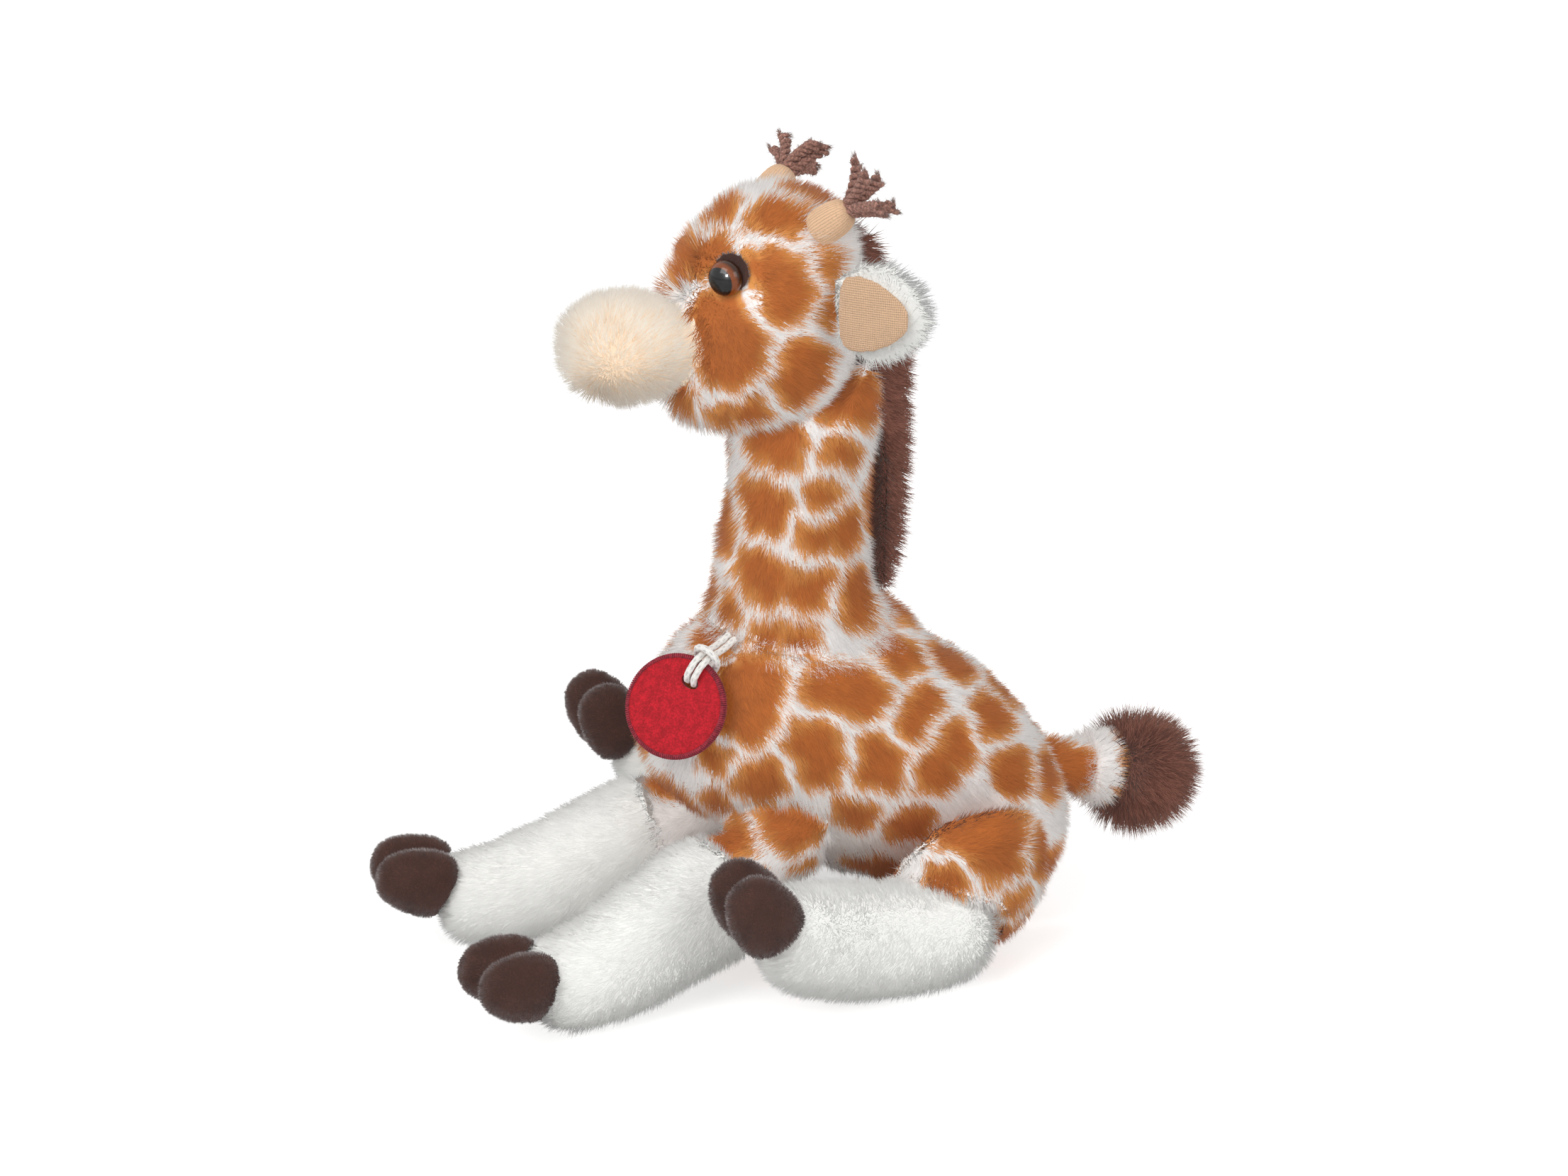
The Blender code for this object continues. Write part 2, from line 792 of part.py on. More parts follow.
def make_ear(group, cutters, plush, knit, head, name, side):
    """A flap whose root clears the head through its swing, with a lining on its front."""
    frame = ear_frame(side)
    size = (EAR_LENGTH, EAR_WIDTH, EAR_DEPTH)
    back = soft_form("ear_back_" + name, group, plush, frame, size, EAR_SHARES, SMALL_SIDES)
    back_room = swelled_cutter(back, cutters)
    root = frame.translation
    up = head_frame().to_3x3() @ Vector((0, 0, 1))
    for turn in swing_turns(root, up, -EAR_SWING, EAR_SWING, 2):
        cut(back, swelled_cutter(head, cutters, turn))
    shift = Vector((0, EAR_DEPTH / 2, LINING_START_SHARE * EAR_LENGTH))
    size = (LINING_LENGTH, LINING_WIDTH, LINING_DEPTH)
    lining = soft_form("ear_lining_" + name, group, knit, frame @ Matrix.Translation(shift), size,
                       LINING_SHARES, SMALL_SIDES)
    cut(lining, back_room)
    hang_on(pivot("ear_root_" + name, root, group), back, lining)


def horn_direction(side):
    local = Vector((side * math.sin(HORN_SPLAY), math.cos(HORN_SPLAY) * math.cos(HORN_TILT),
                    math.cos(HORN_SPLAY) * math.sin(HORN_TILT)))
    return head_frame().to_3x3() @ local


def horn_seat(head, side):
    above = head_frame() @ Vector((side * HORN_ACROSS_SHARE * HEAD_WIDTH / 2,
                                   HORN_BACK_SHARE * HEAD_DEPTH / 2, HEAD_HEIGHT * 2))
    return hit(head, above, Vector((0, 0, -1)))


def make_horn(group, cutters, knit, yarn, head, head_room, name, side):
    direction = horn_direction(side)
    seat = horn_seat(head, side)
    base = seat - direction * HORN_ROOT
    length = HORN_LENGTH + HORN_ROOT
    frame = frame_between(base, base + direction)
    size = (length, HORN_RADIUS * 2, HORN_RADIUS * 2)
    horn = soft_form("horn_" + name, group, knit, frame, size, HORN_SHARES, SMALL_SIDES)
    horn_room = swelled_cutter(horn, cutters)
    cut(horn, head_room)
    tuft = make_yarn(group, yarn, frame @ Matrix.Translation((0, 0, length)), name, side)
    cut(tuft, horn_room)


def yarn_strand(name, group, material, frame, lean, heading):
    """One strand that leaves the horn's tip and leans out as it goes."""
    stations = []
    for step in range(YARN_STEPS + 1):
        along = step / YARN_STEPS
        reach = YARN_LENGTH * along
        out = lean * reach * along
        centre = Vector((out * math.cos(heading), out * math.sin(heading), reach))
        swell = YARN_RADIUS * (1.0 + along / 3)
        stations.append((centre, swell, swell))
    item = add_object(name, mesh_from(ring_cage(YARN_SIDES, stations), name), group, material)
    item.matrix_world = frame
    return item


def make_yarn(group, yarn, frame, name, side):
    start = frame @ Matrix.Translation((0, 0, -HORN_RADIUS / 2))
    strands = []
    for index in range(YARN_STRANDS):
        heading = 2 * math.pi * index / YARN_STRANDS + side / 2
        strands.append(yarn_strand("yarn_tuft_" + name + ("" if not index else str(index)), group, yarn,
                                   start, math.tan(YARN_SPREAD), heading))
    merge(strands[0], strands[1:])
    return strands[0]


def shoulder_place(side):
    along, across, rise = SHOULDER_SHARES
    return torso_place(along, side * across, rise)


def make_front_leg(group, cutters, plush, white, velvet, torso, name, side, floor):
    """Sleeve, lower leg and hoof on a ball that turns in the chest."""
    shoulder = shoulder_place(side)
    reach = FRONT_REACH + (FAR_FRONT_REACH if side < 0 else 0)
    ankle = Vector((shoulder.x + side * FRONT_SPLAY, shoulder.y - reach, FRONT_END_HEIGHT))
    frame = frame_between(shoulder, ankle)
    size = ((ankle - shoulder).length, FRONT_WIDTH, FRONT_DEPTH)
    sleeve = soft_form("front_sleeve_" + name, group, plush, frame, size, FRONT_SHARES)
    leg_room = swelled_cutter(sleeve, cutters)
    along = (ankle - shoulder).normalized()
    seam = shoulder.lerp(ankle, FRONT_SLEEVE_SHARE)
    leg = split(sleeve, "front_leg_" + name, seam, along, group)
    recolour(leg, white)
    cut(leg, floor)
    for turn in swing_turns(shoulder, "X", 0, FRONT_SWING, 2):
        cut(sleeve, swelled_cutter(torso, cutters, turn))
    merge(sleeve, [ball("shoulder_ball_" + name, shoulder, FRONT_BALL, group, plush)])
    heel, heading = front_hoof_place(shoulder, ankle, side)
    hoof = make_hoof(group, velvet, "front_hoof_" + name, heel, heading, leg_room)
    hang_on(pivot("shoulder_" + name, shoulder, group), sleeve, leg, hoof)
    return ball_cutter("shoulder_room_" + name, shoulder, FRONT_BALL + GAP, cutters)


def hip_axis(side):
    return Vector((side * math.cos(HIP_TILT), 0, -math.sin(HIP_TILT)))


def hip_place(side):
    along, across, rise = HIP_SHARES
    return torso_place(along, side * across, rise)


def hip_frame(side):
    hip = hip_place(side)
    return frame_between(hip, hip + hip_axis(side), Vector((0, 1, 0)))


def make_thigh(group, plush, name, side):
    """A domed lobe whose flat side turns on the torso about the hip axis."""
    bm = bmesh.new()
    bmesh.ops.create_uvsphere(bm, u_segments=BALL_SIDES, v_segments=BALL_SIDES // 2, radius=1)
    bm.transform(Matrix.Diagonal((THIGH_RADIUS, THIGH_RADIUS, THIGH_BULGE, 1)))
    cutting = bmesh.ops.bisect_plane(bm, geom=[*bm.verts, *bm.edges, *bm.faces],
                                     plane_co=(0, 0, GAP), plane_no=(0, 0, -1), clear_outer=True)
    rim = [part for part in cutting["geom_cut"] if isinstance(part, bmesh.types.BMEdge)]
    bmesh.ops.contextual_create(bm, geom=rim)
    thigh = add_object("thigh_" + name, mesh_from(bm, name), group, plush)
    thigh.matrix_world = hip_frame(side)
    smooth(thigh.data)
    return thigh


def make_hind_leg(group, cutters, plush, white, velvet, name, side, floor):
    """Thigh, shin and hoof that turn together on the flank."""
    hip = hip_place(side)
    far = side < 0
    out = SHIN_OUT + (FAR_ANKLE_OUT if far else 0)
    rise = ANKLE_RISE + (FAR_ANKLE_RISE if far else 0)
    knee = Vector((hip.x + side * KNEE_OUT, hip.y + KNEE_BEHIND, SHIN_HEIGHT))
    ankle = knee + Vector((side * out, -SHIN_REACH, rise))
    across = Vector((math.cos(SHIN_ROLL), 0, -side * math.sin(SHIN_ROLL)))
    frame = frame_between(knee, ankle, across)
    size = ((ankle - knee).length, SHIN_WIDTH, SHIN_DEPTH)
    leg = soft_form("hind_leg_" + name, group, white, frame, size, SHIN_SHARES)
    leg_room = swelled_cutter(leg, cutters)
    cut(leg, floor)
    thigh = make_thigh(group, plush, name, side)
    cut(thigh, leg_room, floor)
    heel, heading = hind_hoof_place(ankle)
    hoof = make_hoof(group, velvet, "hind_hoof_" + name, heel, heading, leg_room)
    hang_on(pivot("hip_" + name, hip, group), thigh, leg, hoof)
    return rod_cutter("hip_room_" + name, hip_frame(side), outside(THIGH_RADIUS + GAP), 0,
                      THIGH_RADIUS, cutters)


def make_hoof(group, velvet, name, heel, heading, leg_room):
    """Two toes side by side, parted by a cleft, on the end of a leg."""
    toes = []
    for toe in (-1, 1):
        frame = frame_between(heel, heel + heading)
        frame = frame @ Matrix.Translation((toe * HOOF_TOE_SPACING, 0, 0))
        frame = frame @ Matrix.Rotation(toe * HOOF_TOE_SPREAD, 4, "Y")
        size = (HOOF_LENGTH, HOOF_TOE_WIDTH, HOOF_DEPTH)
        toes.append(soft_form(name if toe < 0 else name + "_toe", group, velvet, frame, size,
                              HOOF_SHARES, SMALL_SIDES))
    merge(toes[0], toes[1:])
    cut(toes[0], leg_room)
    return toes[0]


def front_hoof_place(shoulder, ankle, side):
    rise = FRONT_HOOF_RISE + (FAR_FRONT_HOOF_RISE if side < 0 else 0)
    flat = Vector((ankle.x - shoulder.x, ankle.y - shoulder.y, 0)).normalized()
    heading = flat * math.cos(FRONT_HOOF_LIFT) + Vector((0, 0, math.sin(FRONT_HOOF_LIFT)))
    return ankle + Vector((0, 0, rise)) - heading * HOOF_OVERLAP, heading


def hind_hoof_place(ankle):
    heading = Vector((0, -math.cos(HIND_HOOF_LIFT), math.sin(HIND_HOOF_LIFT)))
    return ankle + Vector((0, 0, HIND_HOOF_RISE)) - heading * HOOF_OVERLAP, heading


def tail_place():
    return torso_place(*TAIL_SHARES)


def make_tail(group, cutters, plush, pile):
    """A stub on a ball in the rump, with its tuft."""
    root = tail_place()
    heading = Vector((0, math.cos(TAIL_DROP), -math.sin(TAIL_DROP)))
    frame = frame_between(root, root + heading)
    size = (TAIL_LENGTH, TAIL_RADIUS * 2, TAIL_RADIUS * 2)
    tail = soft_form("tail", group, plush, frame, size, TAIL_FORM_SHARES)
    tail_room = swelled_cutter(tail, cutters)
    merge(tail, [ball("tail_ball", root, TAIL_RADIUS, group, plush)])
    tip = frame @ Matrix.Translation((0, 0, TAIL_LENGTH - TUFT_OVERLAP))
    size = (TUFT_LENGTH, TUFT_RADIUS * 2, TUFT_RADIUS * 2)
    tuft = soft_form("tail_tuft", group, pile, tip, size, TUFT_SHARES)
    cut(tuft, tail_room)
    hang_on(pivot("tail_root", root, group), tail, tuft)
    return ball_cutter("tail_room", root, TAIL_RADIUS + GAP, cutters), tail_room


def tag_exit(neck):
    """Where the cord leaves the neck, just above its seam."""
    outward = Vector((math.sin(TAG_EXIT_TURN), -math.cos(TAG_EXIT_TURN), 0))
    core = neck_frame() @ Vector((0, 0, TAG_EXIT_SHARE * NECK_LENGTH))
    return hit(neck, core + outward * NECK_DEPTH, -outward)


def tag_frame(seam):
    """At the middle of the tag's back, Z out of its face, Y up to its hole and the seam."""
    middle = seam + Vector((TAG_OUT, -TAG_FORWARD, -TAG_DROP))
    out = Vector((math.sin(TAG_TURN) * math.cos(TAG_LIFT), -math.cos(TAG_TURN) * math.cos(TAG_LIFT),
                  math.sin(TAG_LIFT)))
    across = (seam - middle).cross(out).normalized()
    over = out.cross(across)
    turn = Matrix((across, over, out)).transposed().to_4x4()
    return Matrix.Translation(middle) @ turn


def tag_layer(name, group, cutters, material, frame, low, high):
    """A disc of the tag with the hole that both strands of the cord pass."""
    layer = rod_cutter(name, frame, TAG_RADIUS, low, high, group, TAG_SIDES)
    show(layer, material)
    wide = (CORD_DIAMETER * 2 + CORD_PLAY) / 2
    tall = (CORD_DIAMETER + CORD_PLAY) / 2
    hole = frame @ Matrix.Translation((0, TAG_HOLE_UP, 0)) @ Matrix.Diagonal((wide, tall, 1, 1))
    cut(layer, rod_cutter(name + "_hole", hole, 1, low - GAP, high + GAP, cutters))
    return layer


def cord_points(frame):
    """Places read from a smooth curve through the cord's route and its mirror image."""
    half = [frame @ Vector(place) for place in CORD_ROUTE]
    other = [frame @ Vector((-across, up, out)) for across, up, out in reversed(CORD_ROUTE[:-1])]
    route = half + other
    ends = [route[0] * 2 - route[1], *route, route[-1] * 2 - route[-2]]
    points = []
    for before, start, end, after in zip(ends, ends[1:], ends[2:], ends[3:]):
        for step in range(CORD_STEPS):
            share = step / CORD_STEPS
            bend = (before * 2 - start * 5 + end * 4 - after) * share ** 2
            twist = (start * 3 - before - end * 3 + after) * share ** 3
            points.append(start + ((end - before) * share + bend + twist) / 2)
    return [*points, route[-1]]


def make_cord(group, material, seam, frame):
    """One tube: both ends in a knot in the seam, and its loop hitched over them at the tag's rim."""
    curve = bpy.data.curves.new("tag_cord", "CURVE")
    curve.dimensions = "3D"
    curve.bevel_depth = CORD_DIAMETER / 2
    curve.bevel_resolution = CORD_RESOLUTION
    curve.use_fill_caps = True
    spline = curve.splines.new("POLY")
    places = cord_points(frame)
    spline.points.add(len(places) - 1)
    for point, place in zip(spline.points, places):
        point.co = (*place, 1)
    route = bpy.data.objects.new("tag_cord_route", curve)
    group.objects.link(route)
    bpy.context.view_layer.update()
    graph = bpy.context.evaluated_depsgraph_get()
    mesh = bpy.data.meshes.new_from_object(route.evaluated_get(graph))
    bpy.data.objects.remove(route, do_unlink=True)
    bm = bmesh.new()
    bm.from_mesh(mesh)
    bmesh.ops.remove_doubles(bm, verts=bm.verts, dist=MERGE_REACH)
    cord = add_object("tag_cord", mesh_from(bm, "tag_cord"), group, material)
    merge(cord, [ball("cord_knot", seam, CORD_KNOT_RADIUS, group, material)])
    return cord


def make_tag(group, cutters, neck):
    """Backing, face and cord of the tag."""
    seam = tag_exit(neck)
    frame = tag_frame(seam)
    face_low = TAG_BACK_THICKNESS + GAP
    face_high = face_low + TAG_FRONT_THICKNESS
    back = tag_layer("tag_backing", group, cutters, tag_backing(), frame, 0, TAG_BACK_THICKNESS)
    face = tag_layer("tag_disc", group, cutters, tag_felt(), frame, face_low, face_high)
    cord = make_cord(group, white_cord(), seam, frame)
    hang_on(pivot("tag_root", seam, group), back, face, cord)
    return ball_cutter("cord_room", seam, outside(CORD_KNOT_RADIUS + GAP), cutters)


def main():
    clear_scene()
    group = new_collection("plush_giraffe")
    cutters = new_collection("cutters")
    plush, white, pile, velvet = patterned_plush(), white_plush(), mane_plush(), hoof_velvet()
    knit, yarn = beige_knit(), brown_yarn()
    eye_materials = eye_resin(), washer_plastic(), velvet
    floor = floor_cutter(cutters)

    torso = make_torso(group, plush)
    neck = make_neck(group, plush)
    head = make_head(group, plush)
    torso_room, neck_room, head_room = (swelled_cutter(item, cutters) for item in (torso, neck, head))
    make_muzzle(group, muzzle_plush(), head_room)
    make_mane(group, pile, (head_room, neck_room, torso_room))
    eye_rooms = []
    for name, side in (("left", 1), ("right", -1)):
        eye_rooms += make_eye(group, cutters, eye_materials, head, name, side)
        make_horn(group, cutters, knit, yarn, head, head_room, name, side)
        make_ear(group, cutters, white, knit, head, name, side)

    torso_rooms = [floor]
    for name, side in (("left", 1), ("right", -1)):
        torso_rooms += [
            make_front_leg(group, cutters, plush, white, velvet, torso, name, side, floor),
            make_hind_leg(group, cutters, plush, white, velvet, name, side, floor),
        ]
    cord_room = make_tag(group, cutters, neck)
    cut(torso, *torso_rooms, *make_tail(group, cutters, plush, pile), cord_room)
    cut(neck, torso_room, head_room, cord_room)
    cut(head, *eye_rooms)


main()
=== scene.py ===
"""Seated plush giraffe: its pile, knit, felt, yarn, eyes and hang tag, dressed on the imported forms.

Metres, +Z up. The toy faces -Y, its left side is +X, and it sits on the floor at the origin.
"""
import json
import math

import bmesh
import bpy
import numpy as np
from mathutils import Matrix, Vector, noise
from mathutils.bvhtree import BVHTree


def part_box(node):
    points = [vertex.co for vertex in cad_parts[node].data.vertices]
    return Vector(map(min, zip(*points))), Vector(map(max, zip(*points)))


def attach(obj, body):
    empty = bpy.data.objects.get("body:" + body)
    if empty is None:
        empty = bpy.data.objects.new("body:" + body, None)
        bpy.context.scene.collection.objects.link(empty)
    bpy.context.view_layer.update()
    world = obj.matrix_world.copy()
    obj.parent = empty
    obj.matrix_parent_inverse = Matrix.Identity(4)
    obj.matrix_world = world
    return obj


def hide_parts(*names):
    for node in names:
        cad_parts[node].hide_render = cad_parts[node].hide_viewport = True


bl_info = {
    "name": "Plush giraffe",
    "version": (1, 0, 0),
    "blender": (4, 5, 0),
    "location": "3D View > Sidebar > Giraffe",
    "description": "Makes the pile, trims, eyes, tag and stage of a seated plush giraffe",
    "category": "Object",
}

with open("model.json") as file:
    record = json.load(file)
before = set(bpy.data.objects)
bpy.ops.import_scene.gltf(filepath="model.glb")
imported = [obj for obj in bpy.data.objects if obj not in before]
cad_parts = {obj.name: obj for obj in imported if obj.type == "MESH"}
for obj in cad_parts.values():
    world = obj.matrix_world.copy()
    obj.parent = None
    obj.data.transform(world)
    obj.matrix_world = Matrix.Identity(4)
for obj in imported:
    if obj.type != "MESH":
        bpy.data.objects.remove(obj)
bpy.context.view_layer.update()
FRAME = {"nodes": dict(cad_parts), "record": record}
NODES = FRAME["nodes"]
BODIES = FRAME["record"]["behaviour"]["bodies"]
SIDES = (("left", 1), ("right", -1))
MM = 0.001
WELD = 0.000002

# Fabric: how near another piece counts as lying on it, how it is evened out, and how far the room
# for its pile reaches from a seam
CONTACT = 0.0034
CLEAR = 0.0006
SKIN_ROUNDS = 5
SEAM_ROUNDS = 30
OPEN_REACH = 0.016
LAID_OPEN = 0.15

# Pile: what bares the fabric, in metres under another piece or over the floor, and as a share
BARE_REACH = 0.004
SEWN_DEPTH = 0.0032
LAID_DEPTH = 0.0060
BARE_HEIGHT = 0.0015
LEAST_HEIGHT = 0.0002
LEAST_OPEN = 0.02
LEAST_FACTOR = 0.05

# Strands: how they stand, gather in tufts and are shaded, as shares unless they are metres
SHORTEST = 0.42
LEAST_RISE = 0.12
ADDED_RISE = 0.35
BEND_LEVEL = 0.55
TAPER = 0.35
ROUND_SHADING = (0.85, 0.45, 0.25)
TIP_SHADING = (0.75, 0.5)
MOST_STRANDS = 66000
TUFT_WIDTH = 0.0015
TUFT_WAVE = 1900.0
TUFT_WAVE_SHARE = 0.4
TUFT_TURN = np.array(Matrix.Rotation(0.9, 3, Vector((1, 2, 3))))
TUFT_SHUFFLE = np.array([12.9898, 78.233, 37.719])
TUFT_SHUFFLE_SCALE = 43758.5453
GATHER = 0.75
LEAST_GATHER_LENGTH = 0.0050
NOISE_SEED = 7

# How far along a strand the fabric's colour is taken: near the roots in the open, so that it carries their
# painted shade, and less so under other pieces
FABRIC_ALONG = 0.85
OPEN_DARKENING = 0.58
FABRIC_STRAND = 0.4

# Patches: how far one reaches over its lobes, the waves of its edge by axis, how often to the
# metre and how high, and the room for more, which is in millimetres where it is between two
PATCH_SWELL = 0.0030
SLOW_WAVES = ((1, 610, 2, 330), (2, 570, 0, 420), (0, 640, 1, 290))
SLOW_WAVE_HEIGHT = 0.0011
FAST_WAVES = ((2, 1900), (0, 2100), (1, 1700))
FAST_WAVE_HEIGHT = 0.0004
MIRROR_ROOM = 1.5
PATCH_SPACING = 0.0155
WIDEST_LOBE = 0.0125
LOBE_ROOM = 0.0045

# Where the photographed side's patches lie, in millimetres: each lobe's place and reach. Each
# patch is one or more round lobes that run together.
PATCHES = {
    "neck": (
        ((15, -76, 175, 10.5),), ((20, -56, 173, 8.5),), ((15, -81, 158, 11.5),),
        ((23, -62, 161, 8.0),), ((24, -64, 146, 9.5), (22, -54, 146, 9.0)),
        ((25, -66, 133, 10.5), (17, -85, 135, 10.5)), ((21, -49, 126, 9.5),),
        ((-3, -90, 148, 9.0),), ((9, -91, 124, 6.0),), ((27, -71, 115, 6.0), (22, -83, 116, 5.0)),
        ((17, -49, 188, 11.0),),
    ),
    "torso": (
        ((30, -91, 104, 12.0), (31, -93, 95, 10.0)), ((37, -63, 101, 11.0), (33, -50, 99, 10.5)),
        ((23, -37, 107, 10.5),), ((15, -10, 98, 9.5),), ((38, -36, 88, 8.5), (36, -29, 93, 8.0)),
        ((40, -71, 87, 9.5), (41, -68, 77, 8.5)), ((42, -50, 75, 10.5),),
        ((42, -31, 70, 7.5), (41, -21, 79, 8.5)), ((30, -2, 82, 10.0),), ((38, 1, 66, 9.5),),
        ((29, 19, 57, 8.0),), ((13, 9, 86, 7.5),), ((8, -32, 114, 8.5),), ((7, -113, 100, 11.0),),
        ((-10, -117, 82, 10.0),), ((30, -103, 80, 6.5),), ((34, -90, 72, 8.5),),
        ((38, -57, 56, 7.0),), ((23, -100, 61, 5.0),), ((40, -39, 50, 7.0),),
        ((37, -70, 44, 8.0),), ((36, -20, 40, 8.0),), ((28, -92, 48, 6.0),),
    ),
    "head": (
        ((22, -98, 219, 13.0), (23, -93, 212, 13.0)), ((27, -84, 241, 9.5), (29, -76, 231, 11.0)),
        ((30, -72, 204, 11.0),), ((8, -97, 243, 8.0), (-3, -98, 238, 8.0)), ((-1, -88, 252, 7.0),),
        ((18, -76, 254, 10.0),), ((29, -62, 237, 5.5), (29, -62, 224, 5.5)), ((6, -101, 194, 7.5),),
        ((24, -87, 192, 6.0), (15, -94, 190, 5.0)),
    ),
    "front_sleeve_left": (
        ((35, -77, 56, 9.5), (32, -86, 60, 6.0)), ((39, -74, 43, 4.5),), ((27, -98, 53, 7.5),),
    ),
    "thigh_left": (
        ((57, -25, 58, 13.0), (58, -17, 50, 13.0), (60, -14, 42, 9.0)), ((56, 2, 42, 10.0),),
        ((66, -9, 29, 8.0),), ((62, -36, 40, 7.0),),
    ),
    "tail": (((9, 33, 53, 9.5), (9, 38, 46, 9.5), (8, 33, 42, 8.0)),),
}


def paint(red, green, blue):
    """A colour given as a screen shows it, 0 to 255, as linear light."""
    shares = [channel / 255 for channel in (red, green, blue)]
    return [s / 12.92 if s <= 0.04045 else ((s + 0.055) / 1.055) ** 2.4 for s in shares]


def length_property(name, description, default):
    return bpy.props.FloatProperty(name=name, description=description, default=default,
                                   min=0.0, unit="LENGTH", precision=5)


def colour_property(name, description, default):
    return bpy.props.FloatVectorProperty(name=name, description=description, default=default,
                                         min=0.0, max=1.0, subtype="COLOR", size=3)


class GiraffeSizes(bpy.types.PropertyGroup):
    body_pile: length_property("Body pile", "Length of the patterned pile", 0.0070)
    leg_pile: length_property("Leg pile", "Length of the white pile", 0.0058)
    muzzle_pile: length_property("Muzzle pile", "Length of the cream pile", 0.0075)
    mane_pile: length_property("Mane pile", "Length of the mane and the tail's tuft", 0.0105)
    hoof_pile: length_property("Hoof pile", "Length of the velvet on the hooves", 0.0017)
    strand_width: length_property("Strand width", "Width of a strand at its root", 0.00035)
    patch_gap: length_property("Patch gap", "Width of the pale line between two patches", 0.0024)
    eye_width: length_property("Eye width", "Width of an eye's dome", 0.0112)
    tag_width: length_property("Tag width", "Width of the hang tag", 0.0326)
    cord_width: length_property("Cord width", "Diameter of the tag's cord", 0.0022)
    fullness: bpy.props.FloatProperty(name="Fullness", description="Strands for each square millimetre",
                                      default=3.25, min=0.2, max=8.0)


class GiraffeColours(bpy.types.PropertyGroup):
    patch: colour_property("Patch", "Middle of a patch", paint(192, 106, 45))
    patch_edge: colour_property("Patch edge", "Edge of a patch", paint(232, 156, 82))
    line: colour_property("Line", "Lines between the patches", paint(252, 247, 244))
    white: colour_property("White", "Legs and ears", paint(251, 251, 247))
    cream: colour_property("Cream", "Muzzle", paint(255, 244, 228))
    # Cream root is the muzzle's painted shade between its strands, the peach round its mouth and its
    # painted shadow in the nostrils and underneath
    cream_root: colour_property("Cream root", "Muzzle between its strands", paint(253, 214, 172))
    mane: colour_property("Mane", "Mane and tail tuft", paint(104, 62, 50))
    mane_tip: colour_property("Mane tip", "Tips of the mane", paint(164, 108, 90))
    hoof: colour_property("Hoof", "Velvet of the hooves", paint(84, 50, 40))
    knit: colour_property("Knit", "Ear linings and horns", paint(232, 192, 156))
    yarn: colour_property("Yarn", "Yarn tufts", paint(150, 110, 98))
    iris: colour_property("Iris", "Ring round the pupil", paint(132, 64, 18))
    tag: colour_property("Tag", "Face of the tag", paint(206, 26, 42))
    tag_edge: colour_property("Tag edge", "Stitching round the tag", paint(150, 42, 58))
    cord: colour_property("Cord", "Cord of the tag", paint(240, 238, 234))
    washer: colour_property("Washer", "Washers inside the head", paint(236, 236, 230))
    floor: colour_property("Floor", "Floor of the stage", (0.84, 0.84, 0.84))


def sizes():
    return bpy.context.scene.giraffe_sizes


def colours():
    return bpy.context.scene.giraffe_colours


# Meshes

def wear(mesh, material):
    """The material becomes the mesh's only one."""
    mesh.materials.clear()
    mesh.materials.append(material)


def link(name, mesh, material=None):
    """A new object of a mesh, in the scene."""
    item = bpy.data.objects.new(name, mesh)
    bpy.context.scene.collection.objects.link(item)
    if material:
        wear(mesh, material)
    return item


def carried(item, body, slot, node=None):
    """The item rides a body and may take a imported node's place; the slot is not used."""
    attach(item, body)
    if node:
        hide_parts(node)


def mesh_of(bm, name, rounded=True):
    """The finished mesh of a bmesh, which is freed."""
    mesh = bpy.data.meshes.new(name)
    bm.to_mesh(mesh)
    bm.free()
    if rounded:
        mesh.shade_smooth()
    return mesh


def ordered(mesh):
    """The same mesh, its points and faces in an order that is the same each run."""
    places = [tuple(vert.co) for vert in mesh.vertices]
    rows = sorted(range(len(places)), key=lambda index: places[index])
    rank = {index: place for place, index in enumerate(rows)}
    faces = []
    for face in mesh.polygons:
        corners = [rank[index] for index in face.vertices]
        first = corners.index(min(corners))
        faces.append(tuple(corners[first:] + corners[:first]))
    name = mesh.name
    bpy.data.meshes.remove(mesh)
    made = bpy.data.meshes.new(name)
    made.from_pydata([places[index] for index in rows], [], sorted(faces))
    made.shade_smooth()
    return made


def settle(item):
    """The item's modifiers become its mesh."""
    graph = bpy.context.evaluated_depsgraph_get()
    mesh = bpy.data.meshes.new_from_object(item.evaluated_get(graph))
    item.modifiers.clear()
    item.data = mesh
    return item


def welded(node):
    """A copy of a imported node's mesh with its loose triangles joined."""
    bm = bmesh.new()
    bm.from_mesh(NODES[node].data)
    bmesh.ops.remove_doubles(bm, verts=bm.verts, dist=WELD)
    return bm


def middle(node):
    """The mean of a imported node's corner points."""
    total = Vector()
    for vert in NODES[node].data.vertices:
        total += vert.co
    return total / len(NODES[node].data.vertices)


TREES = {}


def tree_of(node):
    """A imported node's surface for rays and distances, made once."""
    if node not in TREES:
        bm = welded(node)
        TREES[node] = BVHTree.FromBMesh(bm)
        bm.free()
    return TREES[node]


def near_nodes(node, reach):
    """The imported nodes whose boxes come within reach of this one's."""
    low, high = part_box(node)
    found = []
    for other in NODES:
        if other == node:
            continue
        other_low, other_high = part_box(other)
        if all(other_low[i] - reach < high[i] and low[i] < other_high[i] + reach for i in range(3)):
            found.append(other)
    return found


OPEN, OWN, FIXED, LOOSE = range(4)


def faced(node, body, places, normals):
    """What each place of a form faces closely: nothing, its own hollow, a piece of the same body,
    or a piece that moves against it."""
    found = np.zeros(len(places), int)
    for other in [*near_nodes(node, CONTACT), node]:
        kind = OWN if other == node else FIXED if other in BODIES[body] else LOOSE
        tree = tree_of(other)
        low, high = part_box(other)
        near = np.all((places > np.array(low) - CONTACT) & (places < np.array(high) + CONTACT), axis=1)
        for index in np.nonzero(near)[0]:
            way = Vector(normals[index])
            if tree.ray_cast(Vector(places[index]) + way * CLEAR, way, CONTACT)[0]:
                found[index] = kind
    return found


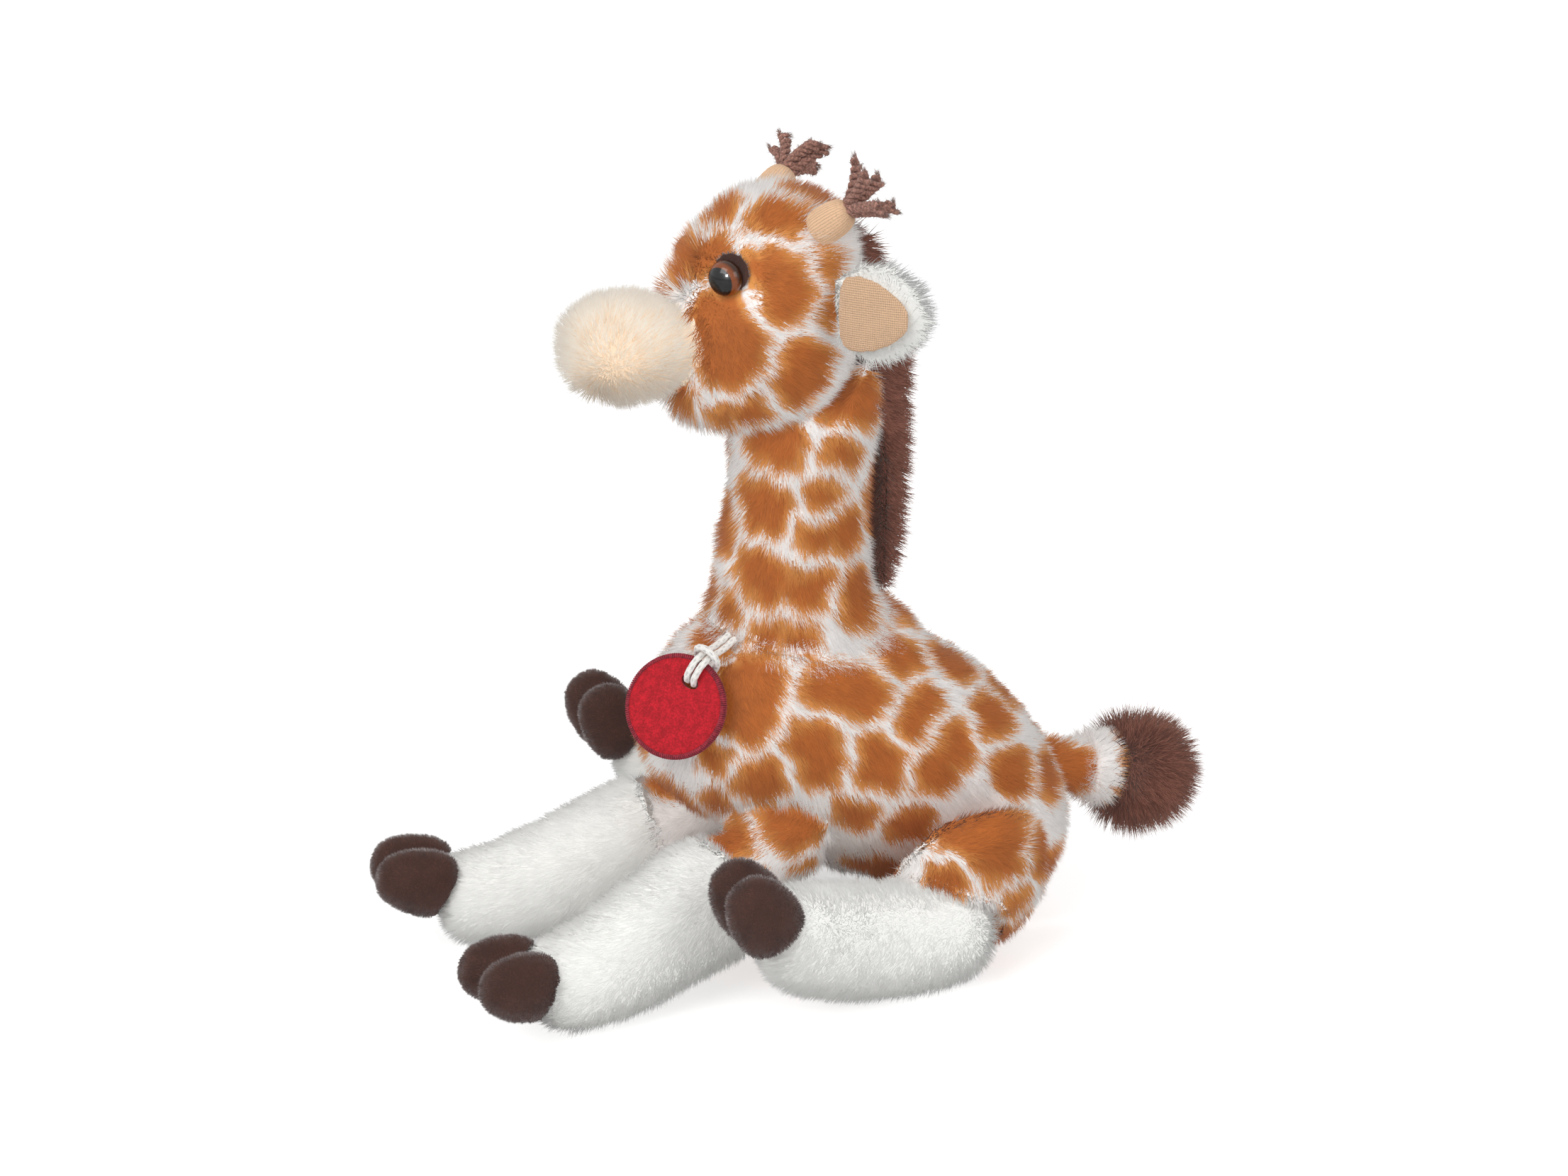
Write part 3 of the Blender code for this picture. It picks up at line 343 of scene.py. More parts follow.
def neighbour_means(mesh, values):
    """At each point of a mesh the mean of its neighbours' values."""
    edges = np.empty(len(mesh.edges) * 2, np.int32)
    mesh.edges.foreach_get("vertices", edges)
    first, second = edges.reshape(-1, 2).T
    total = np.zeros_like(values)
    np.add.at(total, first, values[second])
    np.add.at(total, second, values[first])
    count = np.bincount(first, minlength=len(values)) + np.bincount(second, minlength=len(values))
    return total / np.maximum(count, 1).reshape([-1] + [1] * (values.ndim - 1))


def drawn_in(mesh, normals, facing, inset, press, sink):
    """How far each point moves: in by the pile's depth where it lies open, and only sideways with
    its neighbours where a piece lies on it, so that seams stay shut."""
    is_open = facing == OPEN
    shift = np.where(is_open[:, None], -normals * inset, 0.0)
    for _ in range(SEAM_ROUNDS):
        shift = np.where(is_open[:, None], shift, neighbour_means(mesh, shift))
    shift[facing == FIXED] += normals[facing == FIXED] * press
    shift[facing == LOOSE] += normals[facing == LOOSE] * sink
    return shift


def smoothed(bm, rounds):
    for _ in range(rounds):
        bmesh.ops.smooth_vert(bm, verts=bm.verts, factor=0.5, use_axis_x=True, use_axis_y=True,
                              use_axis_z=True)


def skin(name, node, body, slot, material, fineness, inset, fill=0.8, shrink=1.0, swell=None,
         press=0.0, sink=0.0):
    """The sewn fabric under a pile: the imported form, evened out and, where it lies open, drawn in
    by the pile's depth."""
    item = link(name, mesh_of(welded(node), name), material)
    even = item.modifiers.new("even", "REMESH")
    even.mode = "VOXEL"
    even.voxel_size = fineness
    settle(item)
    places, normals = skin_places(item)
    facing = faced(node, body, places, normals)
    shift = drawn_in(item.data, normals, facing, inset, press, sink)
    share = (facing == OPEN).astype(float)
    for _ in range(int(OPEN_REACH / fineness) + 1):
        share = (share + neighbour_means(item.data, share)) / 2
    share = np.maximum(share, LAID_OPEN * (facing == LOOSE))
    bm = bmesh.new()
    bm.from_mesh(item.data)
    smoothed(bm, SKIN_ROUNDS)
    centre = middle(node)
    for vert, move in zip(bm.verts, shift):
        vert.co = centre + (vert.co + Vector(move) - centre) * shrink
    if swell:
        for vert in bm.verts:
            vert.co += swell(vert.co)
    smoothed(bm, 1)
    bm.to_mesh(item.data)
    bm.free()
    note(item.data, "open", share)
    item.data.shade_smooth()
    wear(item.data, material)
    carried(item, body, slot, node)
    return item


# Pile

def unit(vectors):
    return vectors / np.maximum(np.linalg.norm(vectors, axis=-1, keepdims=True), 1e-12)


def skin_places(item):
    """An item's corner points and their normals."""
    mesh = item.data
    places = np.empty(len(mesh.vertices) * 3)
    normals = np.empty(len(mesh.vertices) * 3)
    mesh.vertices.foreach_get("co", places)
    mesh.vertex_normals.foreach_get("vector", normals)
    return places.reshape(-1, 3), normals.reshape(-1, 3)


def bare_share(node, body, outer, laid):
    """1 where a place on the pile's surface is in the open, 0 where another piece covers it."""
    share = np.ones(len(outer))
    for other in near_nodes(node, BARE_REACH):
        deep = SEWN_DEPTH if other in BODIES[body] else laid
        tree = tree_of(other)
        low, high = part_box(other)
        inside = np.all((outer > np.array(low) - MM) & (outer < np.array(high) + MM), axis=1)
        for index in np.nonzero(inside)[0]:
            place = Vector(outer[index])
            spot, normal, _, distance = tree.find_nearest(place)
            if (place - spot).dot(normal) < 0 and distance > deep:
                share[index] = 0.0
    return share


def mirrored(patches):
    return tuple(tuple((-x, y, z, r) for x, y, z, r in patch) for patch in patches)


def filled_patches(node, patches, outer, seed):
    """The given patches, their mirror images, and more in the room that is left."""
    found = list(patches)
    for patch in mirrored(patches):
        clear = all(
            (Vector(a[:3]) - Vector(b[:3])).length > a[3] + b[3] + MIRROR_ROOM
            for a in patch for other in found for b in other
        )
        if clear and node != "tail":
            found.append(patch)
    lobes = np.array([lobe for patch in found for lobe in patch], float) * MM
    rng = np.random.default_rng(seed)
    for index in rng.permutation(len(outer)):
        place = outer[index]
        room = (np.linalg.norm(lobes[:, :3] - place, axis=1) - lobes[:, 3]).min()
        if room > PATCH_SPACING:
            reach = min(WIDEST_LOBE, room - LOBE_ROOM) * rng.uniform(0.85, 1.0)
            row = np.array([*place, reach])
            lobes = np.vstack([lobes, row])
            found.append((tuple(row / MM),))
    return found


def patch_depth(places, patches, gap):
    """How far inside a patch each place lies; below zero it is on a line between patches."""
    wave = np.stack([np.sin(places[:, one] * often + places[:, other] * seldom)
                     for one, often, other, seldom in SLOW_WAVES], axis=1) * SLOW_WAVE_HEIGHT
    wave += np.stack([np.sin(places[:, axis] * often) for axis, often in FAST_WAVES],
                     axis=1) * FAST_WAVE_HEIGHT
    moved = places + wave
    nearest = np.full((len(places), max(len(patches), 2)), 1.0)
    for column, patch in enumerate(patches):
        for x, y, z, reach in patch:
            apart = np.linalg.norm(moved - np.array([x, y, z]) * MM, axis=1) - reach * MM
            nearest[:, column] = np.minimum(nearest[:, column], apart)
    first, second = np.partition(nearest, 1, axis=1)[:, :2].T
    return np.minimum(PATCH_SWELL - first, (second - first) / 2 - gap / 2)


def tuft_values(roots):
    """A number for the small tuft that each root belongs to, and the tuft's middle."""
    turned = roots @ TUFT_TURN
    bent = turned + np.sin(turned[:, [1, 2, 0]] * TUFT_WAVE) * TUFT_WIDTH * TUFT_WAVE_SHARE
    cells = np.floor(bent / TUFT_WIDTH)
    swing = np.sin(cells @ TUFT_SHUFFLE) * TUFT_SHUFFLE_SCALE
    return np.abs(np.modf(swing)[0]), roots + ((cells + 0.5) * TUFT_WIDTH - bent) @ TUFT_TURN.T


def strand_mesh(name, roots, ways, normals, lengths, width, bends, droop, seed):
    """Tapered three-sided strands; one with a bend has a ring of corners halfway."""
    rng = np.random.default_rng(seed)
    count = len(roots)
    side = unit(np.cross(ways, unit(rng.normal(size=(count, 3)))))
    other = np.cross(ways, side)
    skin_share, round_share, way_share = ROUND_SHADING
    rings = []
    shades = []
    levels = [0.0, BEND_LEVEL][: bends + 1]
    for level in levels:
        centre = roots + ways * (lengths * level)[:, None]
        centre[:, 2] -= droop * (lengths * level ** 2)
        half = width / 2 * (1.0 - level * TAPER)
        for turn in range(3):
            angle = turn * 2 * math.pi / 3
            radial = side * math.cos(angle) + other * math.sin(angle)
            rings.append(centre + radial * half)
            shades.append(unit(normals * skin_share + radial * round_share + ways * way_share))
    tip = roots + ways * lengths[:, None]
    tip[:, 2] -= droop * lengths
    rings.append(tip)
    shades.append(unit(normals * TIP_SHADING[0] + ways * TIP_SHADING[1]))
    per = len(rings)
    places = np.stack(rings, axis=1).reshape(-1, 3)
    places[:, 2] = np.maximum(places[:, 2], LEAST_HEIGHT)
    shading = np.stack(shades, axis=1).reshape(-1, 3)
    faces = []
    for level in range(len(levels) - 1):
        low, high = level * 3, level * 3 + 3
        for turn in range(3):
            after = (turn + 1) % 3
            faces += [(low + turn, low + after, high + turn), (low + after, high + after, high + turn)]
    low = (len(levels) - 1) * 3
    faces += [(low + turn, low + (turn + 1) % 3, per - 1) for turn in range(3)]
    corners = (np.array(faces)[None] + (np.arange(count) * per)[:, None, None]).reshape(-1)
    mesh = bpy.data.meshes.new(name)
    mesh.vertices.add(len(places))
    mesh.vertices.foreach_set("co", places.ravel())
    mesh.loops.add(len(corners))
    mesh.loops.foreach_set("vertex_index", corners.astype(np.int32))
    mesh.polygons.add(len(corners) // 3)
    mesh.polygons.foreach_set("loop_start", np.arange(0, len(corners), 3, dtype=np.int32))
    mesh.update(calc_edges=True)
    mesh.shade_smooth()
    mesh.normals_split_custom_set_from_vertices(shading.astype(np.float32))
    along = np.array([level for level in levels for _ in range(3)] + [1.0])
    note(mesh, "along", np.tile(along, count))
    share = rng.random(count) * 0.5 + tuft_values(roots)[0] * 0.5
    note(mesh, "strand", np.repeat(share, per))
    lay_out_strands(mesh, corners, count, levels)
    return mesh, per


def lay_out_strands(mesh, corners, count, levels):
    """Texture places for baking: a cell of a square grid to each strand."""
    across = int(math.ceil(math.sqrt(count)))
    cells = np.stack([np.arange(count) % across, np.arange(count) // across], axis=1)
    spots = [((turn + 0.5) / 3, 0.1 + 0.8 * level) for level in levels for turn in range(3)]
    spots = np.array([*spots, (0.5, 0.95)])
    shares = ((cells[:, None] + spots[None]) / across).reshape(-1, 2)
    layer = mesh.uv_layers.new(name="OFBake")
    layer.data.foreach_set("uv", shares[corners].ravel().astype(np.float32))


def note(mesh, name, values):
    """Keeps one number for each corner point under a name that materials read."""
    layer = mesh.attributes.new(name, "FLOAT", "POINT")
    layer.data.foreach_set("value", np.asarray(values, np.float32))


def read(mesh, name):
    """The numbers that note kept, or ones where none were."""
    values = np.ones(len(mesh.vertices), np.float32)
    layer = mesh.attributes.get(name)
    if layer:
        layer.data.foreach_get("value", values)
    return values


def flow_field(places, normals, flow, lean, ruffle, clump, seed):
    """Which way the pile is brushed at each place of the skin."""
    if callable(flow):
        heading = np.array([flow(Vector(place)) for place in places])
    else:
        heading = np.tile(np.array(flow, float), (len(places), 1))
    tangent = unit(heading - normals * np.sum(heading * normals, axis=1)[:, None])
    shift = Vector((seed * 1.7, 0.3, 0.9))
    noise.seed_set(NOISE_SEED)
    waves = np.array([noise.noise_vector(Vector(place) / clump + shift) for place in places])
    slow = np.array([noise.noise_vector(Vector(place) / (clump * 4) + shift) for place in places])
    return unit(normals * (1 - lean) + tangent * lean + (waves + slow) * ruffle)


def scattered(mesh, places, share, factor, density, rng):
    """Random spots where the pile grows, each as a triangle's corners and their weights."""
    mesh.calc_loop_triangles()
    corners = np.empty(len(mesh.loop_triangles) * 3, np.int32)
    mesh.loop_triangles.foreach_get("vertices", corners)
    corners = corners.reshape(-1, 3)
    a, b, c = (places[corners[:, i]] for i in range(3))
    area = np.linalg.norm(np.cross(b - a, c - a), axis=1) / 2
    area *= (share[corners].mean(axis=1) > 0.5) * (factor[corners].mean(axis=1) > LEAST_FACTOR)
    count = int(area.sum() * density)
    chosen = corners[rng.choice(len(corners), count, p=area / area.sum())]
    first, second = rng.random(count), rng.random(count)
    flip = first + second > 1
    first[flip], second[flip] = 1 - first[flip], 1 - second[flip]
    return chosen, np.stack([1 - first - second, first, second], axis=1)[:, :, None]


def gathered(roots, way, up, length):
    """The strands' ways once their tips lean together in tufts."""
    pull = tuft_values(roots)[1] - roots
    pull -= up * np.sum(pull * up, axis=1)[:, None]
    return unit(way + pull / max(length, LEAST_GATHER_LENGTH) * GATHER)


def grow(base, skin_item, body, slot, material, flow, length, seed, lean=0.55, ruffle=0.22,
         clump=0.0045, density=None, width=None, bends=0, droop=0.0, node=None, depth=0.0,
         patches=None, trim=None, spread=0.16, vary=0.35, laid=LAID_DEPTH):
    """Plants a pile on a skin and splits it into pieces of a handy size."""
    width = width or sizes().strand_width
    density = (density or sizes().fullness) * 1e6
    mesh = skin_item.data
    places, normals = skin_places(skin_item)
    opened = read(mesh, "open")
    outer = places + normals * depth * opened[:, None]
    share = bare_share(node, body, outer, laid) if node else np.ones(len(places))
    share *= (outer[:, 2] > BARE_HEIGHT) & (opened > LEAST_OPEN)
    factor = np.ones(len(places)) if trim is None else np.array(
        [trim(Vector(place)) for place in outer])
    factor *= SHORTEST + (1 - SHORTEST) * opened
    ways = flow_field(places, normals, flow, lean, ruffle, clump, seed)
    rng = np.random.default_rng(seed)
    chosen, weights = scattered(mesh, places, share, factor, density, rng)
    count = len(chosen)
    roots = (places[chosen] * weights).sum(axis=1)
    up = unit((normals[chosen] * weights).sum(axis=1))
    way = unit((ways[chosen] * weights).sum(axis=1) + rng.normal(size=(count, 3)) * spread)
    sunk = np.sum(way * up, axis=1) < LEAST_RISE
    way[sunk] = unit(way[sunk] + up[sunk] * ADDED_RISE)
    trimmed = (factor[chosen] * weights[:, :, 0]).sum(axis=1)
    reach = length * (1 - vary * rng.random(count) ** 1.5) * trimmed
    way = gathered(roots, way, up, length)
    depths = None
    if patches is not None:
        seen = roots + way * (reach * 0.8)[:, None]
        depths = patch_depth(seen, patches, sizes().patch_gap)
        note(mesh, "patch", patch_depth(outer, patches, sizes().patch_gap))
    # The fabric takes the roots' painted shade in the open and a paler tone under other pieces
    note(mesh, "along", FABRIC_ALONG - OPEN_DARKENING * opened)
    note(mesh, "strand", np.full(len(places), FABRIC_STRAND))
    made = []
    parts = int(math.ceil(count * (1 if not bends else 3) / MOST_STRANDS))
    order = np.argsort(roots[:, 1], kind="stable")
    for part, rows in enumerate(np.array_split(order, parts)):
        name = base if parts == 1 else f"{base}_{part + 1}"
        strands, per = strand_mesh(name, roots[rows] - up[rows] * width, way[rows], up[rows],
                                   reach[rows], width, bends, droop, seed + part)
        if depths is not None:
            note(strands, "patch", np.repeat(depths[rows], per))
        item = link(name, strands, material)
        item.visible_shadow = False
        item.visible_diffuse = False
        carried(item, body, slot)
        made.append(item)
    return made


# Materials

def socket(node, name, value):
    node.inputs[name].default_value = value


def new_material(name, roughness):
    material = bpy.data.materials.new(name)
    material.use_nodes = True
    shader = material.node_tree.nodes["Principled BSDF"]
    socket(shader, "Roughness", roughness)
    return material, material.node_tree, shader


def whole(colour, share=1.0):
    """A colour with its alpha, made darker or lighter by a share."""
    return (*[min(1.0, channel * share) for channel in colour], 1.0)


def attribute(tree, name):
    node = tree.nodes.new("ShaderNodeAttribute")
    node.attribute_name = name
    return node.outputs["Fac"]


def object_place(tree, centre=(0, 0, 0), turn=(0, 0, 0), scale=(1, 1, 1)):
    """Object coordinates about a place, turned and then scaled."""
    source = tree.nodes.new("ShaderNodeTexCoord")
    moved = tree.nodes.new("ShaderNodeVectorMath")
    moved.operation = "SUBTRACT"
    moved.inputs[1].default_value = centre
    mapping = tree.nodes.new("ShaderNodeMapping")
    mapping.vector_type = "TEXTURE"
    socket(mapping, "Rotation", turn)
    socket(mapping, "Scale", tuple(1 / s for s in scale))
    tree.links.new(source.outputs["Object"], moved.inputs[0])
    tree.links.new(moved.outputs["Vector"], mapping.inputs["Vector"])
    return mapping.outputs["Vector"]


def maths(tree, operation, first, second=None, clamp=False):
    """One step of arithmetic; each value is a number or a link."""
    node = tree.nodes.new("ShaderNodeMath")
    node.operation = operation
    node.use_clamp = clamp
    for index, value in enumerate((first, second)):
        if value is None:
            continue
        if isinstance(value, (int, float)):
            node.inputs[index].default_value = value
        else:
            tree.links.new(value, node.inputs[index])
    return node.outputs[0]


def mixed(tree, share, first, second):
    """Two colours mixed; each value is a number, a colour or a link."""
    node = tree.nodes.new("ShaderNodeMix")
    node.data_type = "RGBA"
    for index, value in ((0, share), (6, first), (7, second)):
        if hasattr(value, "is_linked"):
            tree.links.new(value, node.inputs[index])
        else:
            node.inputs[index].default_value = value
    return node.outputs[2]


def ranged(tree, value, low, high, to_low=0.0, to_high=1.0):
    """A value eased from one range into another."""
    node = tree.nodes.new("ShaderNodeMapRange")
    node.interpolation_type = "SMOOTHSTEP"
    tree.links.new(value, node.inputs["Value"])
    for name, number in (("From Min", low), ("From Max", high), ("To Min", to_low), ("To Max", to_high)):
        socket(node, name, number)
    return node.outputs["Result"]


def speckle(tree, place, scale, detail=2.0):
    node = tree.nodes.new("ShaderNodeTexNoise")
    socket(node, "Scale", scale)
    socket(node, "Detail", detail)
    tree.links.new(place, node.inputs["Vector"])
    return node.outputs["Fac"]


def bumped(tree, shader, height, strength, depth):
    node = tree.nodes.new("ShaderNodeBump")
    socket(node, "Strength", strength)
    socket(node, "Distance", depth)
    tree.links.new(height, node.inputs["Height"])
    tree.links.new(node.outputs["Normal"], shader.inputs["Normal"])


def new_group(name, inputs, outputs):
    group = bpy.data.node_groups.new(name, "ShaderNodeTree")
    kinds = {"colour": "NodeSocketColor", "number": "NodeSocketFloat", "place": "NodeSocketVector"}
    for label, kind in inputs:
        group.interface.new_socket(label, in_out="INPUT", socket_type=kinds[kind])
    for label, kind in outputs:
        group.interface.new_socket(label, in_out="OUTPUT", socket_type=kinds[kind])
    return group, group.nodes.new("NodeGroupInput"), group.nodes.new("NodeGroupOutput")


def pile_tone_and_shade_group():
    """Strand by strand colour: painted shade between the strands at their roots, lighter at their tips, a
    little uneven.
    """
    name = "pile_tint"
    if name in bpy.data.node_groups:
        return bpy.data.node_groups[name]
    group, source, target = new_group(
        name, (("Colour", "colour"), ("Root", "colour"), ("Spread", "number")), (("Colour", "colour"),))
    along = attribute(group, "along")
    # Painted shade: the root colour near the roots, eased into the tip colour further out
    rooted = mixed(group, ranged(group, along, 0.0, 0.75), source.outputs["Root"], source.outputs["Colour"])
    strand = maths(group, "SUBTRACT", attribute(group, "strand"), 0.5)
    cloud = maths(group, "SUBTRACT", speckle(group, object_place(group), 110.0), 0.5)
    swing = maths(group, "MULTIPLY", maths(group, "ADD", strand, cloud), source.outputs["Spread"])
    shade = group.nodes.new("ShaderNodeHueSaturation")
    group.links.new(maths(group, "ADD", swing, 1.0), shade.inputs["Value"])
    group.links.new(rooted, shade.inputs["Color"])
    group.links.new(shade.outputs["Color"], target.inputs["Colour"])
    return group


def knit_height_group():
    """Rows of small loops, as height and as a mask of the gaps between them, where materials paint shade.
    """
    name = "knit_height"
    if name in bpy.data.node_groups:
        return bpy.data.node_groups[name]
    group, source, target = new_group(
        name, (("Place", "place"), ("Across", "number"), ("Up", "number")),
        (("Height", "number"), ("Gap", "number")))
    split = group.nodes.new("ShaderNodeSeparateXYZ")
    group.links.new(source.outputs["Place"], split.inputs["Vector"])
    column = maths(group, "MULTIPLY", split.outputs["X"], source.outputs["Across"])
    row = maths(group, "MULTIPLY", split.outputs["Y"], source.outputs["Up"])
    lean = maths(group, "MULTIPLY", maths(group, "ABSOLUTE", maths(group, "SINE", column)), 1.2)
    loops = maths(group, "SINE", maths(group, "ADD", row, lean))
    ribs = maths(group, "ABSOLUTE", maths(group, "SINE", column))
    height = maths(group, "ADD", maths(group, "MULTIPLY", loops, 0.4), ribs)
    group.links.new(height, target.inputs["Height"])
    group.links.new(ranged(group, height, 0.35, -0.2), target.inputs["Gap"])
    return group


def placed(tree, group, **values):
    """A node group with its inputs set or linked."""
    node = tree.nodes.new("ShaderNodeGroup")
    node.node_tree = group
    for name, value in values.items():
        if hasattr(value, "is_linked"):
            tree.links.new(value, node.inputs[name])
        else:
            node.inputs[name].default_value = value
    return node


MATERIALS = {}


def kept(name, maker):
    """Each finish is made once."""
    if name not in MATERIALS:
        MATERIALS[name] = maker(name)
    return MATERIALS[name]


def soft_material(name, roughness, sheen, tint=(1.0, 1.0, 1.0)):
    """A material with the faint bright rim of fibres."""
    material, tree, shader = new_material(name, roughness)
    socket(shader, "Specular IOR Level", 0.2)
    socket(shader, "Sheen Weight", sheen)
    socket(shader, "Sheen Roughness", 0.45)
    socket(shader, "Sheen Tint", whole(tint))
    return material, tree, shader


def painted(tree, shader, colour):
    tree.links.new(colour, shader.inputs["Base Color"])


def piled(tree, shader, colour, root, spread):
    """Gives a pile its colour at the tips and its painted shade at the roots, uneven by the spread."""
    tint = placed(tree, pile_tone_and_shade_group(), Colour=colour, Root=root, Spread=spread)
    painted(tree, shader, tint.outputs["Colour"])


def plain_pile(colour, root_share, spread, sheen):
    def maker(name):
        material, tree, shader = soft_material(name, 0.85, sheen)
        # The roots, darker by root_share, are painted shade between the strands
        piled(tree, shader, whole(colour), whole(colour, root_share), spread)
        return material
    return maker


# Sheen of the patterned pile, and how deep inside a patch, in metres, its shades change
PATCH_SHEEN = 0.12
PALE_SHEEN = 0.45
PATCH_FRAY = 0.0016
EDGE_FADE = (0.0006, 0.0046)
LINE_FADE = (-0.0006, 0.0005)
ROOT_FADE = (-0.0012, 0.0012)


def patterned_finish(name):
    """Caramel patches, golden at their edges, between pale lines."""
    shades = colours()
    material, tree, shader = soft_material(name, 0.85, PATCH_SHEEN, (1.0, 0.95, 0.9))
    depth = attribute(tree, "patch")
    frayed = maths(tree, "MULTIPLY", maths(tree, "SUBTRACT", attribute(tree, "strand"), 0.5), PATCH_FRAY)
    depth = maths(tree, "ADD", depth, frayed)
    patch = mixed(tree, ranged(tree, depth, *EDGE_FADE), whole(shades.patch_edge), whole(shades.patch))
    ground = mixed(tree, ranged(tree, depth, *LINE_FADE), whole(shades.line), patch)
    # Painted shade between the strands: roots much darker on the patches and a little darker on the lines
    dark_root = mixed(tree, 0.60, patch, whole(shades.patch, 0.5))
    root = mixed(tree, ranged(tree, depth, *ROOT_FADE), whole(shades.line, 0.94), dark_root)
    sheen = ranged(tree, depth, *LINE_FADE, PALE_SHEEN, PATCH_SHEEN)
    tree.links.new(sheen, shader.inputs["Sheen Weight"])
    piled(tree, shader, ground, root, 0.36)
    return material


def muzzle_finish(name):
    """Cream pile whose roots show peach as painted shade between its strands; more peach round the mouth,
    painted shadow in the nostrils and painted shade underneath.
    """
    shades = colours()
    material, tree, shader = soft_material(name, 0.85, 0.60, (1.0, 0.95, 0.87))
    colour = mixed(tree, attribute(tree, "blush"), whole(shades.cream), whole(shades.cream_root))
    piled(tree, shader, colour, whole(shades.cream_root), 0.18)
    return material


def mane_finish(name):
    """Dark pile that is paler at its tips."""
    shades = colours()
    material, tree, shader = soft_material(name, 0.75, 0.15, (1.0, 0.8, 0.7))
    tip = ranged(tree, attribute(tree, "along"), 0.6, 1.0)
    colour = mixed(tree, tip, whole(shades.mane), whole(shades.mane_tip))
    # Its roots are much darker, as painted shade between the strands
    piled(tree, shader, colour, whole(shades.mane, 0.35), 0.45)
    return material


def horn_knit_finish(name):
    """Ribs of small stitches that run along the horn, with painted shade between the ribs and between the
    stitches.
    """
    shades = colours()
    material, tree, shader = soft_material(name, 0.9, 0.1)
    stitch = speckle(tree, object_place(tree), 1300.0, 2.0)
    cloud = speckle(tree, object_place(tree), 200.0)
    colour = mixed(tree, ranged(tree, cloud, 0.3, 0.8), whole(shades.knit, 0.92), whole(shades.knit))
    # Painted shade in the grooves between the ribs
    gap = maths(tree, "MULTIPLY", ranged(tree, attribute(tree, "rib"), 0.6, 0.0), 0.75)
    colour = mixed(tree, gap, colour, whole(shades.knit, 0.5))
    # Painted shade in the hollows between the stitches
    colour = mixed(tree, ranged(tree, stitch, 0.5, 0.25, 0.0, 0.35), colour, whole(shades.knit, 0.6))
    painted(tree, shader, colour)
    bumped(tree, shader, stitch, 0.6, 0.0002)
    return material


def knit_finish(centre, turn, across, up):
    """Rows of loops that face along the turned Z axis, so many across and up to the metre, with painted
    shade in their gaps.
    """
    def maker(name):
        shades = colours()
        material, tree, shader = soft_material(name, 0.9, 0.1)
        place = object_place(tree, centre, turn)
        knit = placed(tree, knit_height_group(), Place=place, Across=across, Up=up)
        cloud = speckle(tree, object_place(tree), 160.0)
        colour = mixed(tree, ranged(tree, cloud, 0.2, 0.8), whole(shades.knit, 0.93), whole(shades.knit))
        # Painted shade in the gaps between the loops
        gap = maths(tree, "MULTIPLY", knit.outputs["Gap"], 0.8)
        colour = mixed(tree, gap, colour, whole(shades.knit, 0.55))
        painted(tree, shader, colour)
        bumped(tree, shader, knit.outputs["Height"], 0.9, 0.0003)
        return material
    return maker


def yarn_finish(name):
    """Dull wool, flecked with paler fibres."""
    shades = colours()
    material, tree, shader = soft_material(name, 0.9, 0.2, (1.0, 0.9, 0.85))
    fleck = speckle(tree, object_place(tree), 1400.0, 3.0)
    colour = mixed(tree, ranged(tree, fleck, 0.35, 0.7), whole(shades.yarn, 0.62), whole(shades.yarn, 1.5))
    painted(tree, shader, colour)
    bumped(tree, shader, fleck, 0.6, 0.0002)
    return material


def eye_finish(name):
    """Black pupil and amber ring under a clear polish."""
    shades = colours()
    material, tree, shader = new_material(name, 0.3)
    socket(shader, "Specular IOR Level", 0.15)
    socket(shader, "Coat Weight", 1.0)
    socket(shader, "Coat Roughness", 0.04)
    socket(shader, "Coat IOR", 1.4)
    reach = attribute(tree, "reach")
    grain = maths(tree, "MULTIPLY", speckle(tree, object_place(tree), 900.0), 0.35)
    ring = mixed(tree, grain, whole(shades.iris), whole(shades.iris, 0.35))
    ring = mixed(tree, ranged(tree, reach, 0.98, 1.15), ring, whole(shades.iris, 0.12))
    colour = mixed(tree, ranged(tree, reach, 0.80, 0.85), whole((0.003, 0.003, 0.004)), ring)
    painted(tree, shader, colour)
    return material


def washer_finish(name):
    """Pale moulded plastic."""
    shades = colours()
    material, tree, shader = new_material(name, 0.4)
    grain = speckle(tree, object_place(tree), 700.0, 3.0)
    colour = mixed(tree, grain, whole(shades.washer, 0.9), whole(shades.washer))
    painted(tree, shader, colour)
    tree.links.new(ranged(tree, grain, 0.2, 0.8, 0.35, 0.5), shader.inputs["Roughness"])
    bumped(tree, shader, grain, 0.2, 0.00005)
    return material


def loop_felt_finish(colour):
    """Short uncut loops: close grains that stand up, with painted shade on the low ground between them."""
    def maker(name):
        material, tree, shader = soft_material(name, 0.9, 0.15, (1.0, 0.8, 0.8))
        place = object_place(tree)
        grains = tree.nodes.new("ShaderNodeTexVoronoi")
        socket(grains, "Scale", 1500.0)
        tree.links.new(place, grains.inputs["Vector"])
        hill = maths(tree, "SUBTRACT", 1.0, grains.outputs["Distance"], clamp=True)
        cloud = speckle(tree, place, 420.0, 3.0)
        height = maths(tree, "ADD", maths(tree, "MULTIPLY", hill, 0.6), cloud)
        # Painted shade: darker where the loops are low
        shade = mixed(tree, ranged(tree, height, 0.5, 1.25), whole(colour, 0.55), whole(colour))
        painted(tree, shader, shade)
        bumped(tree, shader, height, 0.8, 0.0003)
        return material
    return maker


def thread_finish(colour):
    """Sewing thread with a slight sheen."""
    def maker(name):
        material, tree, shader = soft_material(name, 0.7, 0.1)
        cloud = speckle(tree, object_place(tree), 900.0, 2.0)
        shade = mixed(tree, ranged(tree, cloud, 0.3, 0.75), whole(colour, 0.6), whole(colour, 1.25))
        painted(tree, shader, shade)
        bumped(tree, shader, cloud, 0.4, 0.0001)
        return material
    return maker


